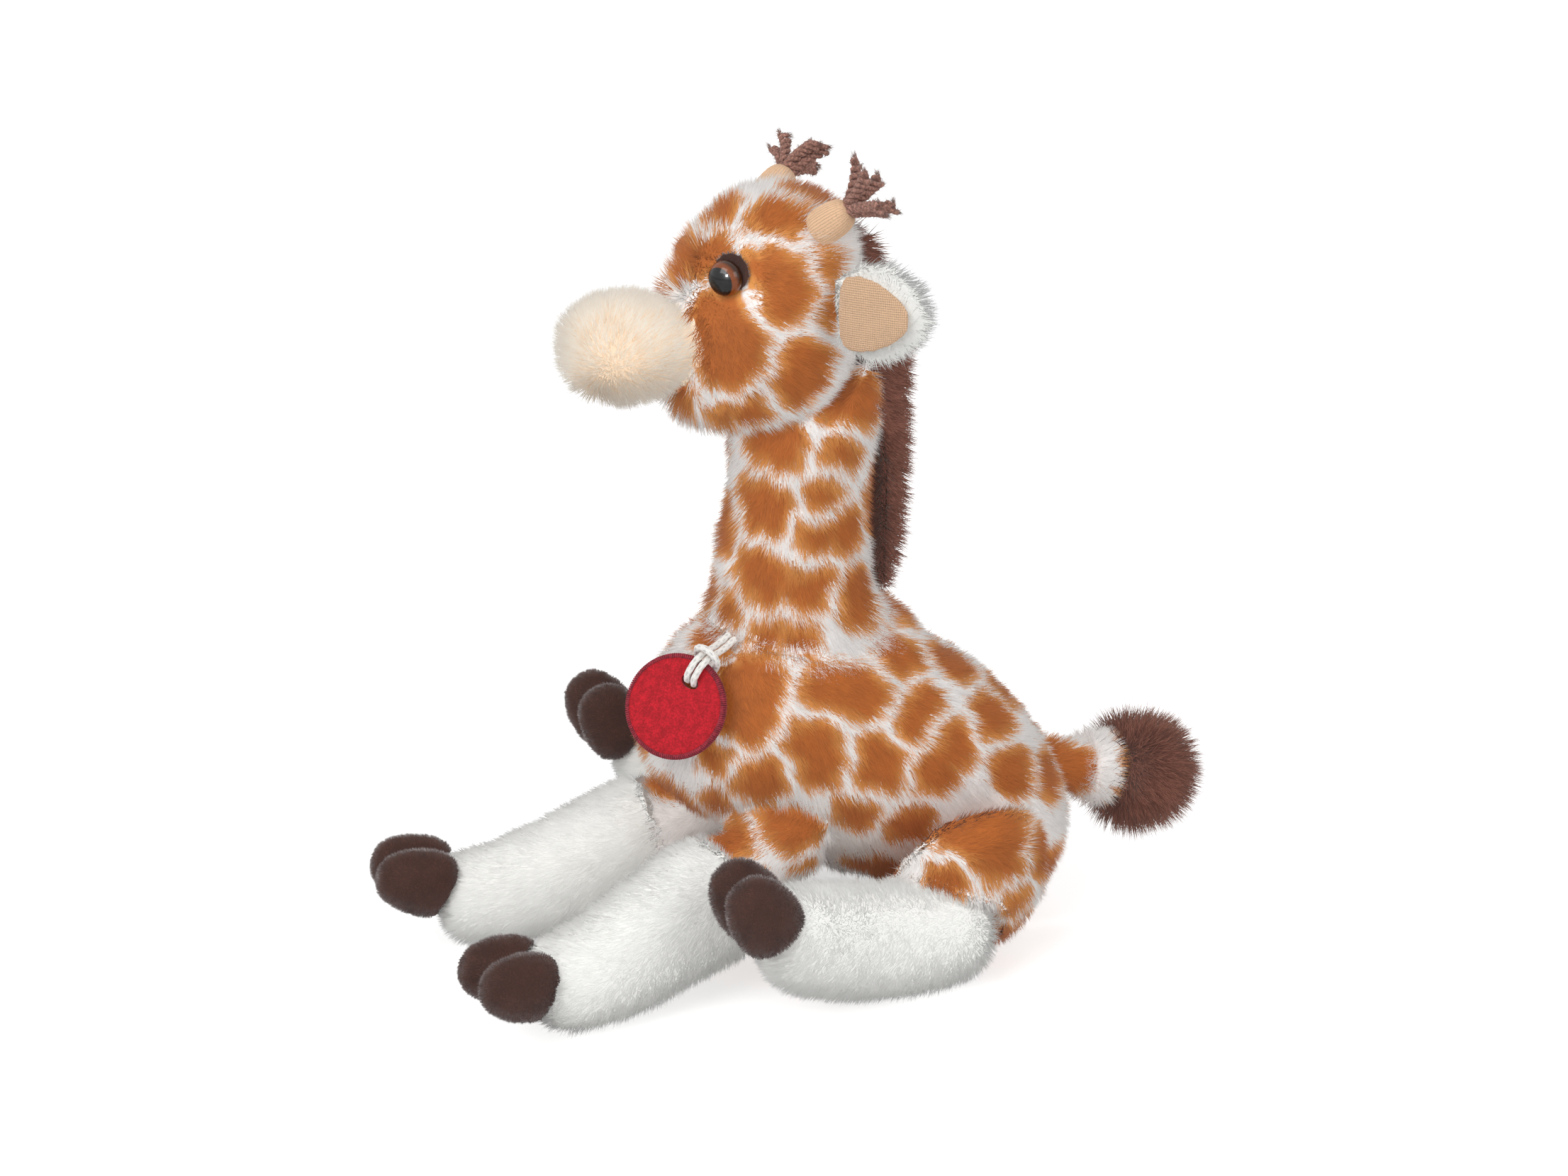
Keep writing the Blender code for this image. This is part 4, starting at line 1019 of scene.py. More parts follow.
def cord_finish(name):
    """Braided white thread, greyed by painted shade between its strands."""
    shades = colours()
    material, tree, shader = soft_material(name, 0.75, 0.1)
    hollow = ranged(tree, attribute(tree, "ridge"), 0.0, 0.75)
    fine = speckle(tree, object_place(tree), 2600.0, 2.0)
    # Painted shade in the hollows between the braid's strands
    colour = mixed(tree, hollow, whole(shades.cord, 0.52), whole(shades.cord))
    colour = mixed(tree, ranged(tree, fine, 0.3, 0.6), whole(shades.cord, 0.8), colour)
    painted(tree, shader, colour)
    bumped(tree, shader, fine, 0.3, 0.00008)
    return material


FLOOR_GLOW = 0.46


def floor_finish(name):
    """Pale floor that keeps its shadows and is white in the open."""
    shades = colours()
    material, tree, shader = new_material(name, 0.9)
    socket(shader, "Specular IOR Level", 0.0)
    grain = speckle(tree, object_place(tree), 3.0)
    colour = mixed(tree, grain, whole(shades.floor), whole(shades.floor, 0.99))
    painted(tree, shader, colour)
    seen = tree.nodes.new("ShaderNodeLightPath")
    glow = maths(tree, "MULTIPLY", seen.outputs["Is Camera Ray"], FLOOR_GLOW)
    socket(shader, "Emission Color", whole((1.0, 1.0, 1.0)))
    tree.links.new(glow, shader.inputs["Emission Strength"])
    return material


def patterned():
    return kept("patterned_pile", patterned_finish)


def white_pile():
    return kept("white_pile", plain_pile(colours().white, 0.94, 0.10, 0.55))


def velvet():
    return kept("hoof_velvet", plain_pile(colours().hoof, 0.4, 0.8, 0.45))


# Stage

CAMERA_PLACE = (0.9386, -0.4652, 0.4960)
CAMERA_TURN = (math.radians(70.0), 0.0, math.radians(67.0))
LENS = 77.485
SENSOR_WIDTH = 36.0
FLOOR_HALF_WIDTH = 12.0
BODY_AIM = (0, -0.06, 0.1)
HEAD_AIM = (0, -0.06, 0.2)

# How bright the white surround is to what isn't seen straight, in a mirror or through glass
AMBIENT = 0.70


def make_camera():
    data = bpy.data.cameras.new("camera")
    data.lens = LENS
    data.sensor_width = SENSOR_WIDTH
    camera = bpy.data.objects.new("camera", data)
    bpy.context.scene.collection.objects.link(camera)
    camera.location = CAMERA_PLACE
    camera.rotation_euler = CAMERA_TURN
    bpy.context.scene.camera = camera


def make_lamp(name, place, target, width, power):
    """A square lamp, its power in watts."""
    data = bpy.data.lights.new(name, "AREA")
    data.shape = "RECTANGLE"
    data.size = width
    data.size_y = width
    data.energy = power
    lamp = bpy.data.objects.new(name, data)
    bpy.context.scene.collection.objects.link(lamp)
    lamp.location = place
    lamp.rotation_euler = (Vector(target) - Vector(place)).to_track_quat("-Z", "Y").to_euler()
    return lamp


def make_world():
    """A white surround that lights the toy less than it shows."""
    world = bpy.data.worlds.new("studio")
    world.use_nodes = True
    tree = world.node_tree
    shell = tree.nodes["Background"]
    seen = tree.nodes.new("ShaderNodeLightPath")
    direct = maths(tree, "MAXIMUM", seen.outputs["Is Camera Ray"], seen.outputs["Is Transmission Ray"])
    direct = maths(tree, "MAXIMUM", direct, seen.outputs["Is Glossy Ray"])
    level = maths(tree, "ADD", maths(tree, "MULTIPLY", direct, 1.0 - AMBIENT), AMBIENT, clamp=True)
    tree.links.new(level, shell.inputs["Strength"])
    socket(shell, "Color", (1.0, 1.0, 1.0, 1.0))
    bpy.context.scene.world = world


def make_floor():
    bm = bmesh.new()
    bmesh.ops.create_grid(bm, x_segments=4, y_segments=4, size=FLOOR_HALF_WIDTH)
    floor = link("floor", mesh_of(bm, "floor", False), kept("floor", floor_finish))


def make_stage():
    bpy.context.scene.view_settings.view_transform = "Standard"
    make_camera()
    make_world()
    make_floor()
    make_lamp("key", (0.55, -1.15, 1.25), BODY_AIM, 0.9, 10.8)
    make_lamp("side", (1.35, 0.55, 0.95), BODY_AIM, 0.8, 4.6)
    glint = make_lamp("glint", (0.98, -0.90, 0.66), HEAD_AIM, 0.22, 24.0)
    glint.visible_diffuse = False


# Tag and cord

TAG_ACROSS = Vector((0.74873, 0.54113, -0.38286))
TAG_UP = Vector((0.00795, 0.57020, 0.82147))
TAG_OUT = Vector((0.66283, -0.61810, 0.42262))
TAG_MIDDLE = Vector((0.01948, -0.11146, 0.09806))
# The disc of felt and its backing, as heights over the tag's back, with their rounded rims
TAG_FACE = 0.0026
TAG_FACE_LOW = 0.0011
TAG_FACE_RIM = 0.0005
TAG_BACK = 0.0008
TAG_BACK_RIM = 0.0002
DISC_SIDES = 96
HOLE_SIDES = 40
STITCHES = 150
STITCH_WIDTH = 0.00032
STITCH_SLANT = 0.006
STITCH_PROFILE = ((-0.0010, TAG_FACE + 0.0001), (0.0001, TAG_FACE - 0.0001), (0.0003, TAG_FACE / 2),
                  (0.0001, 0.0002), (-0.0010, -0.0001))
TAG_HOLE_UP = 0.0090
TAG_HOLE = (0.0031, 0.0020)
# Half of the cord, from the seam over the rim and through the hole to its bend, in the tag's
# frame; the other half is its mirror image
CORD_ROUTE = (
    (0.0012, 0.0270, -0.0092), (0.0013, 0.0232, -0.0052), (0.0013, 0.0204, -0.0010),
    (0.0013, 0.0182, 0.0025), (0.0013, 0.0163, 0.0043), (0.0013, 0.0140, 0.0049),
    (0.0013, 0.0114, 0.0045), (0.0013, 0.0096, 0.0031), (0.0013, 0.0090, 0.0013),
    (0.0014, 0.0095, -0.0005), (0.0018, 0.0113, -0.0016), (0.0028, 0.0142, -0.0018),
    (0.0037, 0.0169, -0.0011), (0.0040, 0.0183, 0.0008), (0.0036, 0.0194, 0.0028),
    (0.0020, 0.0203, 0.0041), (0.0000, 0.0206, 0.0045),
)
CORD_STEPS = 12
CORD_SIDES = 24
BRAID_STRANDS = 4
BRAID_PITCH = 0.0042
BRAID_LOW = 0.80
BRAID_HEIGHT = 0.10


def tag_frame():
    turn = Matrix((TAG_ACROSS, TAG_UP, TAG_OUT)).transposed().to_4x4()
    return Matrix.Translation(TAG_MIDDLE) @ turn


def smooth_route(places, steps):
    """Points on a smooth curve through the places."""
    ends = [places[0] * 2 - places[1], *places, places[-1] * 2 - places[-2]]
    points = []
    for before, start, end, after in zip(ends, ends[1:], ends[2:], ends[3:]):
        for step in range(steps):
            share = step / steps
            bend = (before * 2 - start * 5 + end * 4 - after) * share ** 2
            twist = (start * 3 - before - end * 3 + after) * share ** 3
            points.append(start + ((end - before) * share + bend + twist) / 2)
    return [*points, places[-1]]


def cord_path():
    frame = tag_frame()
    half = [frame @ Vector(place) for place in CORD_ROUTE]
    other = [frame @ Vector((-across, up, out)) for across, up, out in reversed(CORD_ROUTE[:-1])]
    return smooth_route(half + other, CORD_STEPS)


def tube_rings(path, half_width, sides, bulge=None):
    """Corner points of a tube along a path, its frame carried along without twisting."""
    way = (path[1] - path[0]).normalized()
    side = way.orthogonal().normalized()
    rings = []
    run = 0.0
    for index, place in enumerate(path):
        after = path[min(index + 1, len(path) - 1)]
        before = path[max(index - 1, 0)]
        way = (after - before).normalized()
        side = (side - way * side.dot(way)).normalized()
        over = way.cross(side)
        run += (place - before).length if index else 0.0
        ring = []
        for turn in range(sides):
            angle = 2 * math.pi * turn / sides
            swell = bulge(run, angle) if bulge else 1.0
            ring.append(place + (side * math.cos(angle) + over * math.sin(angle)) * half_width * swell)
        rings.append(ring)
    return rings, run


def tube_bmesh(bm, rings):
    """Skins rings of corner points with quads and closes both ends."""
    made = [[bm.verts.new(place) for place in ring] for ring in rings]
    for low, high in zip(made, made[1:]):
        for turn in range(len(low)):
            after = (turn + 1) % len(low)
            bm.faces.new((low[turn], low[after], high[after], high[turn]))
    bm.faces.new(list(reversed(made[0])))
    bm.faces.new(made[-1])
    return made


def braid_swell(run, angle):
    """Two sets of strands that wind opposite ways and pass over each other."""
    phase = 2 * math.pi * run / BRAID_PITCH
    right = math.sin(BRAID_STRANDS * angle + phase)
    left = math.sin(BRAID_STRANDS * angle - phase)
    return 1.0 - BRAID_HEIGHT + BRAID_HEIGHT * max(right, left)


def run_marks(path):
    """How far along the path each of its points lies."""
    marks = [0.0]
    for before, place in zip(path, path[1:]):
        marks.append(marks[-1] + (place - before).length)
    return marks


def make_cord(tag_pieces):
    """The braided cord, which joins the tag to the seam; the tag's pieces that it is given are not used."""
    bm = bmesh.new()
    path = cord_path()
    rings, run = tube_rings(path, sizes().cord_width / 2, CORD_SIDES, braid_swell)
    tube_bmesh(bm, rings)
    bmesh.ops.recalc_face_normals(bm, faces=bm.faces)
    mesh = mesh_of(bm, "tag_cord_braid")
    cord = link("tag_cord_braid", mesh, kept("white_cord", cord_finish))
    swells = [braid_swell(r, 2 * math.pi * t / CORD_SIDES) for r in run_marks(path)
              for t in range(CORD_SIDES)]
    note(mesh, "ridge", (np.array(swells) - BRAID_LOW) / (1.0 - BRAID_LOW))
    carried(cord, "tag", "white_cord", "tag_cord")
    tuple(path[0])
    [tuple(place) for place in path]


def holed_disc(name, low, high, rim, slot, material, node):
    """A felt disc with rounded edges and the hole that the cord passes."""
    bm = bmesh.new()
    radius = sizes().tag_width / 2
    bmesh.ops.create_cone(bm, cap_ends=True, segments=DISC_SIDES, radius1=radius, radius2=radius,
                          depth=high - low)
    bmesh.ops.translate(bm, verts=bm.verts, vec=(0, 0, (low + high) / 2))
    edges = [edge for edge in bm.edges if abs(edge.verts[0].co.z - edge.verts[1].co.z) < WELD]
    bmesh.ops.bevel(bm, geom=edges, offset=rim, segments=3, profile=0.5, affect="EDGES", material=-1)
    disc = link(name, mesh_of(bm, name), material)
    cutter_bm = bmesh.new()
    bmesh.ops.create_cone(cutter_bm, cap_ends=True, segments=HOLE_SIDES, radius1=1, radius2=1,
                          depth=0.01)
    bmesh.ops.scale(cutter_bm, verts=cutter_bm.verts, vec=(*TAG_HOLE, 1))
    bmesh.ops.translate(cutter_bm, verts=cutter_bm.verts, vec=(0, TAG_HOLE_UP, 0))
    cutter = link(name + "_hole", mesh_of(cutter_bm, name + "_hole", False))
    cutting = disc.modifiers.new("hole", "BOOLEAN")
    cutting.operation = "DIFFERENCE"
    cutting.object = cutter
    settle(disc)
    bpy.data.objects.remove(cutter, do_unlink=True)
    disc.data.transform(tag_frame())
    disc.data.shade_smooth()
    disc.data.set_sharp_from_angle(angle=math.radians(40))
    wear(disc.data, material)
    carried(disc, "tag", slot, node)
    return disc


def make_tag_stitches():
    """Thread that binds the tag's edge, each stitch a short bent tube over the rim."""
    frame = tag_frame()
    radius = sizes().tag_width / 2
    bm = bmesh.new()
    for index in range(STITCHES):
        angle = 2 * math.pi * index / STITCHES
        path = []
        for step, (out, height) in enumerate(STITCH_PROFILE):
            turn = angle + step * STITCH_SLANT
            reach = radius + out
            path.append(frame @ Vector((math.cos(turn) * reach, math.sin(turn) * reach, height)))
        rings, _ = tube_rings(path, STITCH_WIDTH, 5)
        tube_bmesh(bm, rings)
    bmesh.ops.recalc_face_normals(bm, faces=bm.faces)
    item = link("tag_edge_stitches", mesh_of(bm, "tag_edge_stitches"),
                kept("tag_thread", thread_finish(colours().tag_edge)))
    carried(item, "tag", "tag_backing")
    return item


def make_tag():
    """The felt face on its backing, bound with thread and hung on its cord."""
    shades = colours()
    face = holed_disc("tag_face", TAG_FACE_LOW, TAG_FACE, TAG_FACE_RIM, "tag_felt",
                      kept("tag_felt", loop_felt_finish(shades.tag)), "tag_disc")
    back = holed_disc("tag_back", 0.0, TAG_BACK, TAG_BACK_RIM, "tag_backing",
                      kept("tag_backing", loop_felt_finish(shades.tag_edge)), "tag_backing")
    make_cord([face, back, make_tag_stitches()])


# Body pieces

TRUNK_FLOW = (0.0, 0.45, -0.9)
NECK_FLOW = (0.0, 0.15, -1.0)
HEAD_FLOW = (0.0, 0.85, -0.30)
MANE_FLOW = (0.0, 0.85, -0.5)
TAIL_FLOW = (0.0, 0.98, -0.2)
NECK_MIDDLE = -0.064
WITHERS = Vector((0.0, -0.036, 0.116))
HEAD_MIDDLE = -0.004

# Where the muzzle turns peach round the mouth, and its painted shadow in the nostrils: place, reach and
# strength
MOUTH = Vector((0.006, -0.133, 0.1925))
PEACH_AND_SHADE_SPOTS = (
    (MOUTH, 0.013, 0.35),
    (Vector((0.013, -0.127, 0.226)), 0.0055, 0.75),
    (Vector((-0.012, -0.129, 0.226)), 0.0055, 0.75),
)

# How far fabric is pressed onto a piece of the same body, and sunk into one that it moves against
PRESS = 0.0020
LEG_PRESS = 0.0015
LIMB_SINK = 0.0036

# The head's turn about Z, and how its horns and ears stand off it
HEAD_TURN = math.radians(-2.5)
HORN_TILT = math.radians(38.0)
HORN_SPLAY = math.radians(23.0)
EAR_TURN = math.radians(42.0)


def rising(value, low, high):
    """Eases from 0 at the low end to 1 at the high end, which may be the smaller number."""
    share = max(0.0, min(1.0, (value - low) / (high - low)))
    return share * share * (3 - 2 * share)


def make_patterned(node, body, flow, seed, fineness=0.0024, inset=0.0042, trim=None, lean=0.55,
                   patches=None, swell=None, sink=0.0):
    """A piece's fabric and its patterned pile, with more patches where the given ones leave room."""
    fabric = skin(node + "_fabric", node, body, "patterned_plush", patterned(), fineness, inset,
                  swell=swell, press=PRESS, sink=sink)
    places, normals = skin_places(fabric)
    given = PATCHES[node] if patches is None else patches
    every = filled_patches(node, given, places + normals * inset, seed)
    grow(node + "_pile", fabric, body, "patterned_plush", patterned(), flow,
         sizes().body_pile, seed, lean=lean, node=node, depth=inset, patches=every, trim=trim)


def plush(node, body, slot, material, fineness, inset, flow, length, seed, sewn=None, **pile):
    """A piece's fabric and its plain pile; sewn holds what the skin takes besides."""
    fabric = skin(node + "_fabric", node, body, slot, material, fineness, inset, **(sewn or {}))
    return [fabric, *grow(node + "_pile", fabric, body, slot, material, flow, length, seed, node=node,
                          depth=inset, **pile)]


def torso_swell(place):
    """The withers rise behind the neck, and a low collar closes the seam round it."""
    near = rising((place - WITHERS).length, 0.030, 0.006)
    rise = Vector((0, 0.0010, 0.0060)) * near * rising(place.z, 0.090, 0.104)
    collar = rising(math.hypot(place.x, place.y - NECK_MIDDLE), 0.046, 0.034)
    return rise + Vector((0, 0, 0.0022)) * collar * rising(place.z, 0.098, 0.108)


def make_torso():
    make_patterned("torso", "trunk", TRUNK_FLOW, 11, swell=torso_swell)


def neck_swell(place):
    """The neck's base sinks into the torso and spreads onto the withers; its top fills the room
    under the head."""
    low = rising(place.z, 0.130, 0.114)
    back = rising(place.y, -0.066, -0.040)
    top = rising(place.z, 0.158, 0.176)
    out = Vector((place.x, place.y - NECK_MIDDLE, 0)).normalized()
    base = (Vector((0, 0.0100, -0.0060)) * back + out * 0.0012 + Vector((0, 0, -0.0085))) * low
    nape = Vector((0, 0.0020, 0.0150)) * rising(place.y, -0.062, -0.046)
    return base + (out * 0.0030 + Vector((0, 0.0010, 0.0080)) + nape) * top


def neck_trim(place):
    """Longer at the base, where it hangs over the seam."""
    return 1.0 + 0.5 * rising(place.z, 0.130, 0.118)


def make_neck():
    make_patterned("neck", "trunk", NECK_FLOW, 21, swell=neck_swell, trim=neck_trim)


def eye_axes():
    """For each eye, a place on its axis at the dome's top and the way it looks."""
    found = []
    for name, _ in SIDES:
        base = middle("eye_washer_" + name)
        way = (middle("eye_" + name) - base).normalized()
        rise = max((vert.co - base).dot(way) for vert in NODES["eye_" + name].data.vertices)
        found.append((base + way * rise, way))
    return found


EYES = []


def eye_axes_kept():
    """The eyes' axes, found once."""
    if not EYES:
        EYES.extend(eye_axes())
    return EYES


def from_axis(place, top, way):
    """How far a place in front of the face lies from an eye's axis."""
    shift = place - top
    along = shift.dot(way)
    return (shift - way * along).length if along > -0.02 else 1.0


BARE_EYE = 0.0060
SHORT_ROUND_EYE = 0.0055


def head_trim(place):
    """Bare where the eyes are, short round them and longer on the brow and round the horns."""
    nearest = min(from_axis(place, top, way) for top, way in eye_axes_kept())
    horn = min((place - middle("horn_" + name)).length for name, _ in SIDES)
    longer = 1.0 + 0.9 * max(0.0, min(1.0, (0.015 - horn) / 0.006))
    brow = rising(place.y, -0.082, -0.090) * rising(abs(place.x - HEAD_MIDDLE), 0.020, 0.014)
    longer += 0.35 * brow * rising(place.z, 0.248, 0.240)
    if nearest < BARE_EYE:
        return 0.0
    return longer * (0.3 + 0.7 * min(1.0, (nearest - BARE_EYE) / SHORT_ROUND_EYE))


def head_swell(place):
    """Cheeks that bulge over the muzzle's seam."""
    front = rising(place.y, -0.078, -0.092)
    low = rising(place.z, 0.236, 0.222)
    bridge = rising(abs(place.x - HEAD_MIDDLE), 0.017, 0.006) * rising(place.z, 0.252, 0.238)
    cheek = Vector((math.copysign(0.0020, place.x), -0.0020, 0)) * front * low
    return cheek + Vector((0, -0.0030, 0.0010)) * front * bridge


def make_head():
    make_patterned("head", "trunk", HEAD_FLOW, 31, trim=head_trim, lean=0.50, inset=0.0036,
                   swell=head_swell)


def muzzle_flow(place):
    """Brushed away from the mouth."""
    return (place - MOUTH) + Vector((0, 0.004, 0.001))


def muzzle_swell(place):
    """The seam with the head draws the muzzle in."""
    seam = rising(place.y, -0.118, -0.100)
    centre = Vector((-0.002, place.y, 0.2100))
    return (centre - place) * 0.20 * seam + Vector((0, 0.0060, 0)) * seam


def muzzle_trim(place):
    """Shorter towards the seam with the head."""
    return 0.55 + 0.45 * rising(place.y, -0.104, -0.114)


def make_muzzle():
    """Its pile, more peach round the mouth, with painted shadow in the nostrils and painted shade
    underneath.
    """
    made = plush("muzzle", "trunk", "muzzle_plush", kept("muzzle_pile", muzzle_finish), 0.0020, 0.0055,
                 muzzle_flow, sizes().muzzle_pile, 41, {"swell": muzzle_swell, "press": PRESS}, lean=0.40,
                 ruffle=0.26, density=5.2, width=sizes().strand_width * 0.85, vary=0.30,
                 trim=muzzle_trim)
    for item in made:
        places, _ = skin_places(item)
        blush = np.zeros(len(places))
        for spot, reach, weight in PEACH_AND_SHADE_SPOTS:
            near = np.linalg.norm(places - np.array(spot), axis=1) / reach
            blush = np.maximum(blush, weight * np.clip(1 - near, 0, 1) ** 1.2)
        # Painted shade, stronger towards the bottom of the muzzle
        low = np.clip((0.212 - places[:, 2]) / 0.020, 0, 1) * 0.15
        note(item.data, "blush", np.clip(blush + low, 0, 1))


def mane_swell(place):
    """Behind the horns the mane lies closer to the head."""
    return Vector((0, -0.0050, 0)) * rising(place.z, 0.205, 0.228)


def make_mane():
    plush("mane", "trunk", "mane_plush", kept("mane_pile", mane_finish), 0.0018, 0.0040, MANE_FLOW,
          sizes().mane_pile, 51, {"fill": None, "swell": mane_swell}, lean=0.40, ruffle=0.28, density=4.4,
          bends=1, droop=0.06, spread=0.24, clump=0.0035, vary=0.5)


TAIL_ROOT = Vector((0, 0.02908, 0.04772))
RING_ALONG = 0.0195
RING_RADII = (0.0098, 0.0104)
RING_LENGTH = 0.007
RING_LOBES = 16
RING_LOBES_ALONG = 0.0085
RING_LOBES_OUT = 0.013
RING_LOBE_REACH = 0.6


def make_tail_rings():
    """White and then caramel pile where the tail meets its tuft."""
    finish = patterned()
    way = Vector(TAIL_FLOW).normalized()
    centre = TAIL_ROOT + way * RING_ALONG
    bm = bmesh.new()
    bmesh.ops.create_cone(bm, cap_ends=True, segments=32, radius1=RING_RADII[0],
                          radius2=RING_RADII[1], depth=RING_LENGTH)
    bmesh.ops.bevel(bm, geom=bm.edges[:], offset=0.001, segments=2, profile=0.5, affect="EDGES",
                    material=-1)
    turn = way.to_track_quat("Z", "Y").to_matrix().to_4x4()
    bmesh.ops.transform(bm, matrix=Matrix.Translation(centre) @ turn, verts=bm.verts)
    bmesh.ops.triangulate(bm, faces=bm.faces)
    bmesh.ops.subdivide_edges(bm, edges=bm.edges, cuts=2, use_grid_fill=True)
    ring = link("tail_ring_fabric", ordered(mesh_of(bm, "tail_ring_fabric")), finish)
    carried(ring, "tail_body", "patterned_plush")
    lobes = []
    for step in range(RING_LOBES):
        angle = step / RING_LOBES * 2 * math.pi
        out = turn.to_3x3() @ Vector((math.cos(angle), math.sin(angle), 0)) * RING_LOBES_OUT
        lobes.append((*((centre + way * RING_LOBES_ALONG + out) / MM), RING_LOBE_REACH))
    grow("tail_ring_pile", ring, "tail_body", "patterned_plush", finish, TAIL_FLOW, 0.0066, 63,
         lean=0.50, density=4.5, patches=(tuple(lobes),))


def make_tail():
    """The patterned stub and its dark tuft, with the rings between them."""
    make_patterned("tail", "tail_body", TAIL_FLOW, 61, fineness=0.0018, inset=0.0036)
    finish = kept("mane_pile", mane_finish)
    tuft_inset = 0.0050
    fabric = skin("tail_tuft_fabric", "tail_tuft", "tail_body", "mane_plush", finish, 0.0020,
                  tuft_inset, fill=None, shrink=0.85)
    centre = middle("tail_tuft")

    def burst(place):
        return (place - centre) * 0.5 + Vector((0, 0.010, -0.003))

    grow("tail_tuft_pile", fabric, "tail_body", "mane_plush", finish, burst, sizes().mane_pile * 1.3, 62,
         lean=0.35, ruffle=0.45, depth=tuft_inset, density=4.8, bends=1, droop=0.06, spread=0.28,
         vary=0.55)
    make_tail_rings()


def leg_way(low_node, high_node):
    return (middle(high_node) - middle(low_node)).normalized()


def sided(patches, side):
    """The left limb's patches, or their mirror images for the right one."""
    return patches if side > 0 else mirrored(patches)


def sleeve_swell(centre):
    """Fuller along the flank than the stuffing under it."""
    def swell(place):
        return Vector((0, (place.y - centre.y) * 0.20, 0.0020))
    return swell


def front_leg_swell(place):
    """Plump on top, more so towards the chest."""
    plump = 0.0030 + 0.0055 * rising(place.y, -0.160, -0.110)
    sunk = Vector((0, 0.0090, 0)) * rising(place.y, -0.116, -0.100)
    return Vector((0, 0, plump)) * rising(place.z, 0.012, 0.036) + sunk


def make_white_leg(node, body, way, seed, swell):
    plush(node, body, "white_plush", white_pile(), 0.0022, 0.0034, tuple(way), sizes().leg_pile, seed,
          {"swell": swell, "press": LEG_PRESS, "sink": LIMB_SINK}, lean=0.50, ruffle=0.20)


def make_front_legs():
    for index, (name, side) in enumerate(SIDES):
        body = "front_limb_" + name
        way = leg_way("front_leg_" + name, "front_hoof_" + name)
        make_patterned("front_sleeve_" + name, body, tuple(way + Vector((0, 0, -0.4))), 71 + index,
                       fineness=0.0020, inset=0.0038, patches=sided(PATCHES["front_sleeve_left"], side),
                       swell=sleeve_swell(middle("front_sleeve_" + name)), sink=LIMB_SINK)
        make_white_leg("front_leg_" + name, body, way, 75 + index, front_leg_swell)


def thigh_swell(place):
    """The top of the thigh runs up into the rump."""
    return Vector((math.copysign(-0.0030, place.x), 0, 0.0060)) * rising(place.z, 0.036, 0.054)


def thigh_flow(place):
    """Brushed down the thigh, and backwards along its upper rim."""
    top = rising(place.z, 0.042, 0.054)
    return Vector((0, 0.1 + 0.9 * top, -1.0 + 1.25 * top))


def shin_swell(place):
    """The folded shin is plump on top."""
    return Vector((0, 0, 0.0050)) * rising(place.z, 0.020, 0.038)


def make_hind_legs():
    for index, (name, side) in enumerate(SIDES):
        body = "hind_limb_" + name
        make_patterned("thigh_" + name, body, thigh_flow, 81 + index, fineness=0.0020,
                       inset=0.0038, patches=sided(PATCHES["thigh_left"], side), swell=thigh_swell,
                       sink=LIMB_SINK)
        way = leg_way("hind_leg_" + name, "hind_hoof_" + name)
        make_white_leg("hind_leg_" + name, body, Vector((way.x * 0.3, way.y, 0)), 85 + index,
                       shin_swell)


def make_hooves():
    for index, (end, limb) in enumerate((("front", "front_limb_"), ("hind", "hind_limb_"))):
        for name, side in SIDES:
            node = f"{end}_hoof_{name}"
            way = leg_way(f"{end}_leg_{name}", node)
            plush(node, limb + name, "hoof_velvet", velvet(), 0.0011, 0.0012, tuple(way),
                  sizes().hoof_pile, 91 + index * 2 + (side > 0), lean=0.35, ruffle=0.55, clump=0.0013,
                  density=6.4, width=0.00033, spread=0.3)


EAR_COURSES = (5200.0, 9000.0)
EAR_LAID = 0.0010


def make_ears():
    """Each ear's plush back, brushed outwards, and its knit lining."""
    for index, (name, side) in enumerate(SIDES):
        body = "ear_" + name
        turn = math.pi / 2 + EAR_TURN
        out = Matrix.Rotation(HEAD_TURN, 3, "Z") @ Vector((side * math.sin(turn), -math.cos(turn), 0))
        plush("ear_back_" + name, body, "white_plush", white_pile(), 0.0012, 0.0022, tuple(out),
              sizes().leg_pile * 1.35, 101 + index, lean=0.42, density=6.0, ruffle=0.18, laid=EAR_LAID)
        centre = tuple(middle("ear_lining_" + name))
        heading = math.atan2(out.y, out.x)
        knit = kept("ear_knit_" + name, knit_finish(centre, (math.pi / 2, 0, heading), *EAR_COURSES))
        skin(f"ear_lining_{name}_knit", "ear_lining_" + name, body, "beige_knit", knit, 0.0007,
             0.0, fill=0.4)


def turned_shape(name, profile, steps, frame, material):
    """A profile of radius and height turned about Z, then placed."""
    bm = bmesh.new()
    verts = [bm.verts.new((radius, 0, height)) for radius, height in profile]
    edges = [bm.edges.new(pair) for pair in zip(verts, verts[1:])]
    bmesh.ops.spin(bm, geom=verts + edges, cent=(0, 0, 0), axis=(0, 0, 1), angle=2 * math.pi,
                   steps=steps, use_merge=True, dvec=(0, 0, 0), space=Matrix.Identity(4))
    bmesh.ops.remove_doubles(bm, verts=bm.verts, dist=WELD)
    bmesh.ops.recalc_face_normals(bm, faces=bm.faces)
    bmesh.ops.transform(bm, matrix=frame, verts=bm.verts)
    return link(name, ordered(mesh_of(bm, name)), material)


def axis_frame(place, way):
    return Matrix.Translation(place) @ way.to_track_quat("Z", "Y").to_matrix().to_4x4()


EYE_HEIGHT = 0.0050
EYE_RIM = 0.0008
EYE_BACK_SHARE = 0.96
EYE_STEM_RADIUS = 0.0016
EYE_STEM_END = -0.0130
EYE_ARC_STEPS = 14
PUPIL_AIM = Vector((0, -0.8, -0.6))
PUPIL_SHIFT = 0.0012
FELT_HOLE = 0.0052


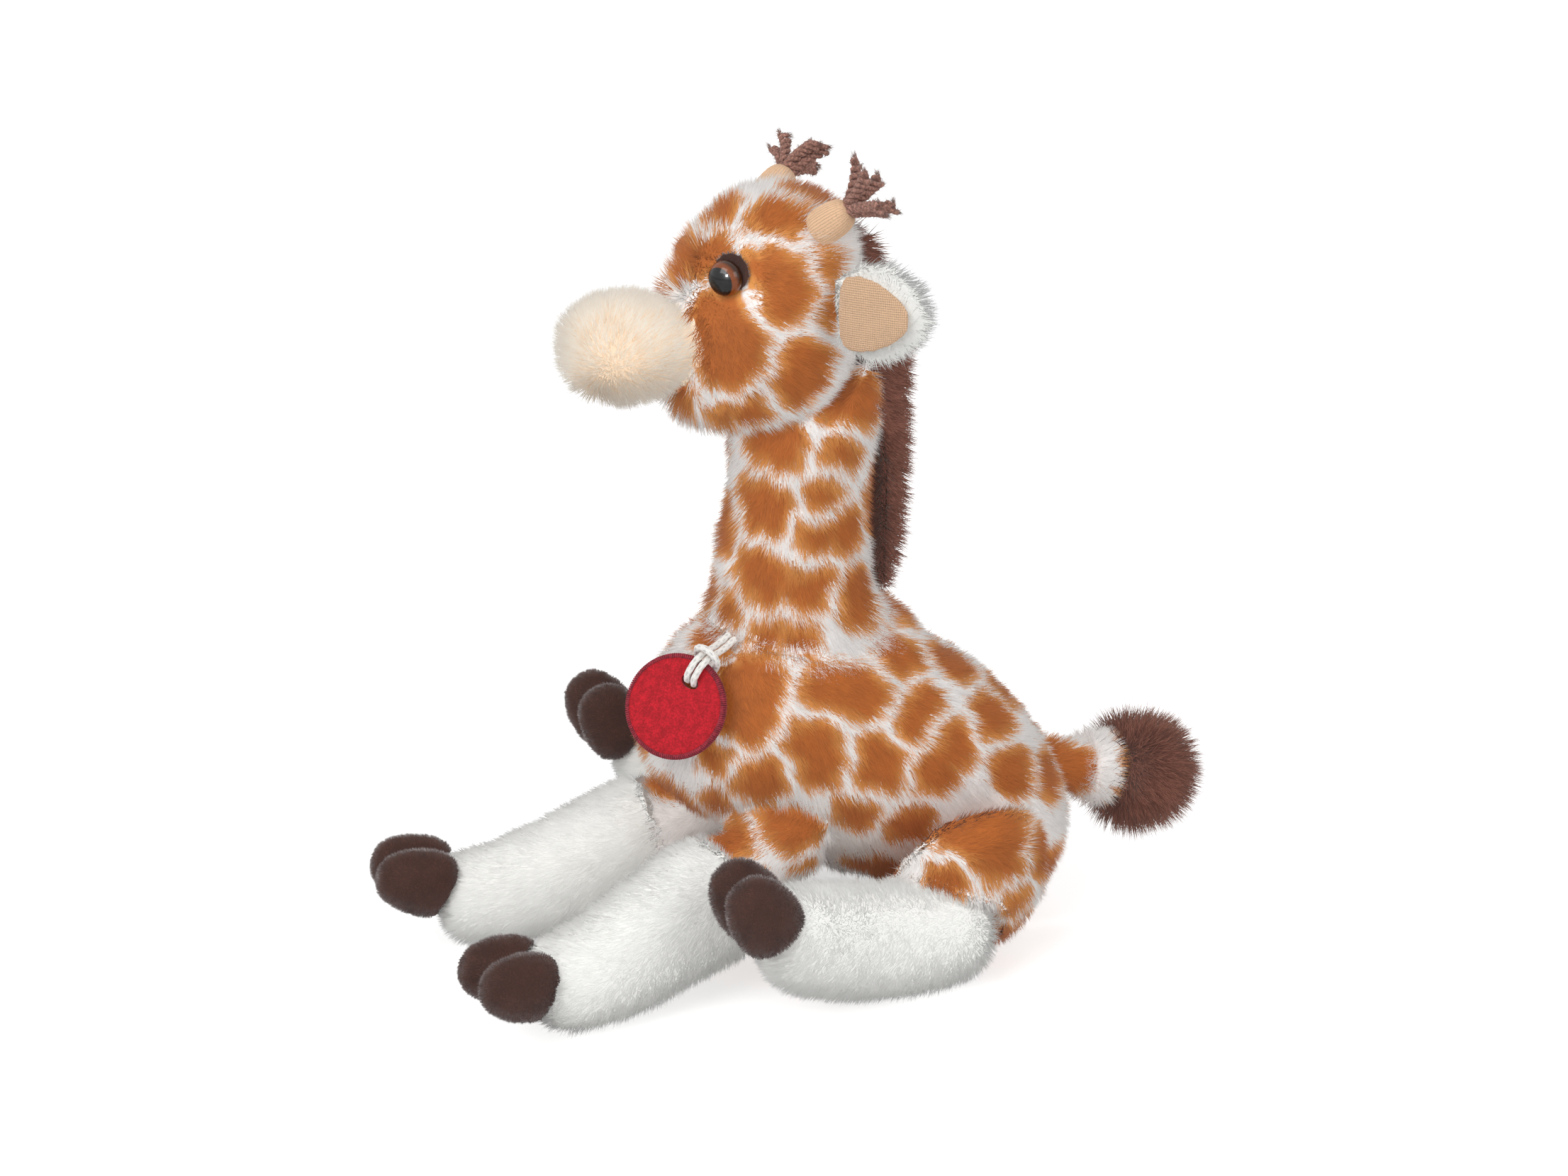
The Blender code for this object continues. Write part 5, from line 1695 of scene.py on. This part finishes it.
def make_eyes():
    """Each eye's dome and stem, its pupil a little low, and the felt behind it."""
    glassy = kept("eye_resin", eye_finish)
    for (name, side), (top, way) in zip(SIDES, eye_axes_kept()):
        radius = sizes().eye_width / 2
        profile = []
        for step in range(EYE_ARC_STEPS + 1):
            angle = step / EYE_ARC_STEPS * math.pi / 2
            profile.append((radius * math.sin(angle), (EYE_HEIGHT - EYE_RIM) * (math.cos(angle) - 1)))
        profile += [(radius * EYE_BACK_SHARE, -EYE_HEIGHT), (EYE_STEM_RADIUS, -EYE_HEIGHT),
                    (EYE_STEM_RADIUS, EYE_STEM_END), (0, EYE_STEM_END)]
        item = turned_shape("eye_dome_" + name, profile, 64, axis_frame(top, way), glassy)
        places, _ = skin_places(item)
        drift = (PUPIL_AIM - way * PUPIL_AIM.dot(way)).normalized() * PUPIL_SHIFT
        apart = places - np.array(top + drift)
        along = apart @ np.array(way)
        flat = apart - along[:, None] * np.array(way)
        note(item.data, "reach", np.linalg.norm(flat, axis=1) / radius)
        carried(item, "trunk", "eye_resin", "eye_" + name)
        felt = skin(f"eye_felt_{name}", "eye_patch_" + name, "trunk", "hoof_velvet", velvet(), 0.0006,
                    0.0001, fill=None, shrink=0.76)
        grow(f"eye_felt_{name}_pile", felt, "trunk", "hoof_velvet", velvet(), tuple(way), 0.0016,
             111 + (side > 0), lean=0.2, ruffle=0.5, clump=0.0012, density=9.0, width=0.00022,
             trim=lambda place: 1.0 if from_axis(place, top, way) > FELT_HOLE else 0.0, spread=0.4)


def horn_way(side):
    local = Vector((side * math.sin(HORN_SPLAY), math.cos(HORN_SPLAY) * math.cos(HORN_TILT),
                    math.cos(HORN_SPLAY) * math.sin(HORN_TILT)))
    return Matrix.Rotation(HEAD_TURN, 3, "Z") @ local


def horn_frame(name, side):
    """Z along the horn, at its middle, with how far its tip lies."""
    way = horn_way(side)
    centre = middle("horn_" + name)
    tip = max((vert.co - centre).dot(way) for vert in NODES["horn_" + name].data.vertices)
    return axis_frame(centre, way), tip


HORN_RIBS = 36
RIB_HEIGHT = 0.00016


def make_horns():
    """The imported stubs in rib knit, with the ribs raised."""
    knit = kept("horn_knit", horn_knit_finish)
    for name, side in SIDES:
        frame, _ = horn_frame(name, side)
        item = skin("horn_knit_" + name, "horn_" + name, "trunk", "beige_knit", knit, 0.0004, 0.0)
        inverse = frame.inverted()
        ribs = []
        for vert in item.data.vertices:
            local = inverse @ vert.co
            rib = math.sin(HORN_RIBS * math.atan2(local.y, local.x))
            flat = Vector((local.x, local.y, 0))
            if flat.length > 0.003:
                vert.co = frame @ (local + flat.normalized() * RIB_HEIGHT * rib)
            ribs.append(0.5 + 0.5 * rib)
        note(item.data, "rib", ribs)


YARN_STRANDS = 6
YARN_PLIES = 3
YARN_PLY_WIDTH = 0.0017
YARN_WIND = 0.0011
YARN_STEPS = 22
YARN_TURNS = 4.2
YARN_START = 0.0010
YARN_SINK = 0.0016
FRAY_FIBRES = 1800
FRAY_END_FIBRES = 40
FRAY_WIDTH = 0.00016


def fray(item, name, side, ends, wool):
    """Fine fibres along the yarn and a loose brush of them at each cut end."""
    rng = np.random.default_rng(130 + side)
    places, normals = skin_places(item)
    picked = rng.choice(len(places), FRAY_FIBRES)
    roots = [places[picked]]
    ways = [unit(normals[picked] + rng.normal(size=(FRAY_FIBRES, 3)) * 0.6)]
    lengths = [rng.uniform(0.0005, 0.0017, FRAY_FIBRES)]
    for place, way in ends:
        each = (FRAY_END_FIBRES, 3)
        roots.append(np.array(place) + rng.normal(size=each) * 0.00035)
        ways.append(unit(np.array(way.normalized()) + rng.normal(size=each) * 0.35))
        lengths.append(rng.uniform(0.0008, 0.0028, FRAY_END_FIBRES))
    roots, ways, lengths = np.vstack(roots), np.vstack(ways), np.concatenate(lengths)
    mesh, _ = strand_mesh("yarn_fray_" + name, roots, ways, ways, lengths, FRAY_WIDTH, 0, 0.0, 140 + side)
    fibres = link("yarn_fray_" + name, mesh, wool)
    fibres.visible_shadow = False
    carried(fibres, "trunk", "brown_yarn")


def make_yarn_tufts():
    """Cut ends of plied yarn that fan out of each horn's tip, with frayed fibres."""
    wool = kept("brown_yarn", yarn_finish)
    for name, side in SIDES:
        rng = np.random.default_rng(120 + side)
        frame, tip = horn_frame(name, side)
        bm = bmesh.new()
        ends = []
        for strand in range(YARN_STRANDS):
            heading = 2 * math.pi * (strand + rng.uniform(-0.2, 0.2)) / YARN_STRANDS
            spread = rng.uniform(0.45, 1.0)
            reach = rng.uniform(0.0110, 0.0150)
            curl = rng.uniform(-0.6, 0.6)
            path = []
            for step in range(YARN_STEPS + 1):
                along = step / YARN_STEPS
                out = YARN_START + reach * spread * along ** 1.2
                turn = heading + curl * along
                rise = tip - YARN_SINK + reach * (along - 0.3 * spread * along ** 2)
                path.append(Vector((math.cos(turn) * out, math.sin(turn) * out, rise)))
            for ply in range(YARN_PLIES):
                wound = []
                for step, place in enumerate(path):
                    along = step / YARN_STEPS
                    loose = YARN_WIND * (1.0 + 0.7 * max(0.0, along - 0.7) / 0.3)
                    phase = (ply / YARN_PLIES + along * YARN_TURNS / 2) * 2 * math.pi
                    shift = Vector((math.cos(phase), math.sin(phase), 0)) * loose
                    wound.append(frame @ (place + shift))
                rings, _ = tube_rings(wound, YARN_PLY_WIDTH / 2, 8)
                tube_bmesh(bm, rings)
                ends.append((wound[-1], wound[-1] - wound[-3]))
        bmesh.ops.recalc_face_normals(bm, faces=bm.faces)
        item = link("yarn_strands_" + name, mesh_of(bm, "yarn_strands_" + name), wool)
        carried(item, "trunk", "brown_yarn", "yarn_tuft_" + name)
        fray(item, name, side, ends, wool)


def dress_washers():
    """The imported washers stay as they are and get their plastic."""
    plastic = kept("washer_plastic", washer_finish)
    for name, _ in SIDES:
        wear(NODES["eye_washer_" + name].data, plastic)


# Add-on

class GIRAFFE_OT_stage(bpy.types.Operator):
    """Make the camera, the soft lamps and the pale floor"""
    bl_idname = "giraffe.stage"
    bl_label = "Make stage"
    bl_options = {"REGISTER", "UNDO"}

    def execute(self, context):
        make_stage()
        return {"FINISHED"}


class GIRAFFE_OT_tag(bpy.types.Operator):
    """Make the felt tag, its bound edge and its braided cord"""
    bl_idname = "giraffe.tag"
    bl_label = "Make tag"
    bl_options = {"REGISTER", "UNDO"}

    def execute(self, context):
        make_tag()
        return {"FINISHED"}


class GIRAFFE_OT_torso(bpy.types.Operator):
    """Make the patterned torso and its pile"""
    bl_idname = "giraffe.torso"
    bl_label = "Make torso"
    bl_options = {"REGISTER", "UNDO"}

    def execute(self, context):
        make_torso()
        return {"FINISHED"}


class GIRAFFE_OT_neck(bpy.types.Operator):
    """Make the patterned neck and its pile"""
    bl_idname = "giraffe.neck"
    bl_label = "Make neck"
    bl_options = {"REGISTER", "UNDO"}

    def execute(self, context):
        make_neck()
        return {"FINISHED"}


class GIRAFFE_OT_head(bpy.types.Operator):
    """Make the patterned head and its pile"""
    bl_idname = "giraffe.head"
    bl_label = "Make head"
    bl_options = {"REGISTER", "UNDO"}

    def execute(self, context):
        make_head()
        return {"FINISHED"}


class GIRAFFE_OT_muzzle(bpy.types.Operator):
    """Make the cream muzzle with its mouth and nostrils"""
    bl_idname = "giraffe.muzzle"
    bl_label = "Make muzzle"
    bl_options = {"REGISTER", "UNDO"}

    def execute(self, context):
        make_muzzle()
        return {"FINISHED"}


class GIRAFFE_OT_mane(bpy.types.Operator):
    """Make the long dark pile down the neck"""
    bl_idname = "giraffe.mane"
    bl_label = "Make mane"
    bl_options = {"REGISTER", "UNDO"}

    def execute(self, context):
        make_mane()
        return {"FINISHED"}


class GIRAFFE_OT_eyes(bpy.types.Operator):
    """Make the domed eyes and the felt behind them"""
    bl_idname = "giraffe.eyes"
    bl_label = "Make eyes"
    bl_options = {"REGISTER", "UNDO"}

    def execute(self, context):
        make_eyes()
        return {"FINISHED"}


class GIRAFFE_OT_ears(bpy.types.Operator):
    """Make the plush ears and their knit linings"""
    bl_idname = "giraffe.ears"
    bl_label = "Make ears"
    bl_options = {"REGISTER", "UNDO"}

    def execute(self, context):
        make_ears()
        return {"FINISHED"}


class GIRAFFE_OT_horns(bpy.types.Operator):
    """Make the ribbed knit horn stubs"""
    bl_idname = "giraffe.horns"
    bl_label = "Make horns"
    bl_options = {"REGISTER", "UNDO"}

    def execute(self, context):
        make_horns()
        return {"FINISHED"}


class GIRAFFE_OT_yarn(bpy.types.Operator):
    """Make the cut yarn ends on the horns"""
    bl_idname = "giraffe.yarn"
    bl_label = "Make yarn tufts"
    bl_options = {"REGISTER", "UNDO"}

    def execute(self, context):
        make_yarn_tufts()
        return {"FINISHED"}


class GIRAFFE_OT_front_legs(bpy.types.Operator):
    """Make the front sleeves and the white lower legs"""
    bl_idname = "giraffe.front_legs"
    bl_label = "Make front legs"
    bl_options = {"REGISTER", "UNDO"}

    def execute(self, context):
        make_front_legs()
        return {"FINISHED"}


class GIRAFFE_OT_hind_legs(bpy.types.Operator):
    """Make the patterned thighs and the white shins"""
    bl_idname = "giraffe.hind_legs"
    bl_label = "Make hind legs"
    bl_options = {"REGISTER", "UNDO"}

    def execute(self, context):
        make_hind_legs()
        return {"FINISHED"}


class GIRAFFE_OT_hooves(bpy.types.Operator):
    """Make the velvet of the cloven hooves"""
    bl_idname = "giraffe.hooves"
    bl_label = "Make hooves"
    bl_options = {"REGISTER", "UNDO"}

    def execute(self, context):
        make_hooves()
        return {"FINISHED"}


class GIRAFFE_OT_tail(bpy.types.Operator):
    """Make the patterned tail, its ring and its tuft"""
    bl_idname = "giraffe.tail"
    bl_label = "Make tail"
    bl_options = {"REGISTER", "UNDO"}

    def execute(self, context):
        make_tail()
        return {"FINISHED"}


class GIRAFFE_OT_washers(bpy.types.Operator):
    """Give the washers inside the head their plastic"""
    bl_idname = "giraffe.washers"
    bl_label = "Dress washers"
    bl_options = {"REGISTER", "UNDO"}

    def execute(self, context):
        dress_washers()
        return {"FINISHED"}


OPERATORS = (
    GIRAFFE_OT_stage,
    GIRAFFE_OT_tag,
    GIRAFFE_OT_torso,
    GIRAFFE_OT_neck,
    GIRAFFE_OT_head,
    GIRAFFE_OT_muzzle,
    GIRAFFE_OT_mane,
    GIRAFFE_OT_eyes,
    GIRAFFE_OT_ears,
    GIRAFFE_OT_horns,
    GIRAFFE_OT_yarn,
    GIRAFFE_OT_front_legs,
    GIRAFFE_OT_hind_legs,
    GIRAFFE_OT_hooves,
    GIRAFFE_OT_tail,
    GIRAFFE_OT_washers,
)


class GIRAFFE_PT_panel(bpy.types.Panel):
    """Lists the giraffe's sizes, colours and pieces in the sidebar"""
    bl_idname = "GIRAFFE_PT_panel"
    bl_label = "Plush giraffe"
    bl_space_type = "VIEW_3D"
    bl_region_type = "UI"
    bl_category = "Giraffe"

    def draw(self, context):
        layout = self.layout
        for settings in (context.scene.giraffe_sizes, context.scene.giraffe_colours):
            box = layout.box()
            for name in settings.__annotations__:
                box.prop(settings, name)
        for operator in OPERATORS:
            layout.operator(operator.bl_idname)


CLASSES = (GiraffeSizes, GiraffeColours, *OPERATORS, GIRAFFE_PT_panel)


def register():
    for item in CLASSES:
        bpy.utils.register_class(item)
    bpy.types.Scene.giraffe_sizes = bpy.props.PointerProperty(type=GiraffeSizes)
    bpy.types.Scene.giraffe_colours = bpy.props.PointerProperty(type=GiraffeColours)


def unregister():
    del bpy.types.Scene.giraffe_colours
    del bpy.types.Scene.giraffe_sizes
    for item in reversed(CLASSES):
        bpy.utils.unregister_class(item)


def main():
    register()
    for operator in OPERATORS:
        getattr(bpy.ops.giraffe, operator.bl_idname.split(".")[1])()


if __name__ == "__main__":
    main()
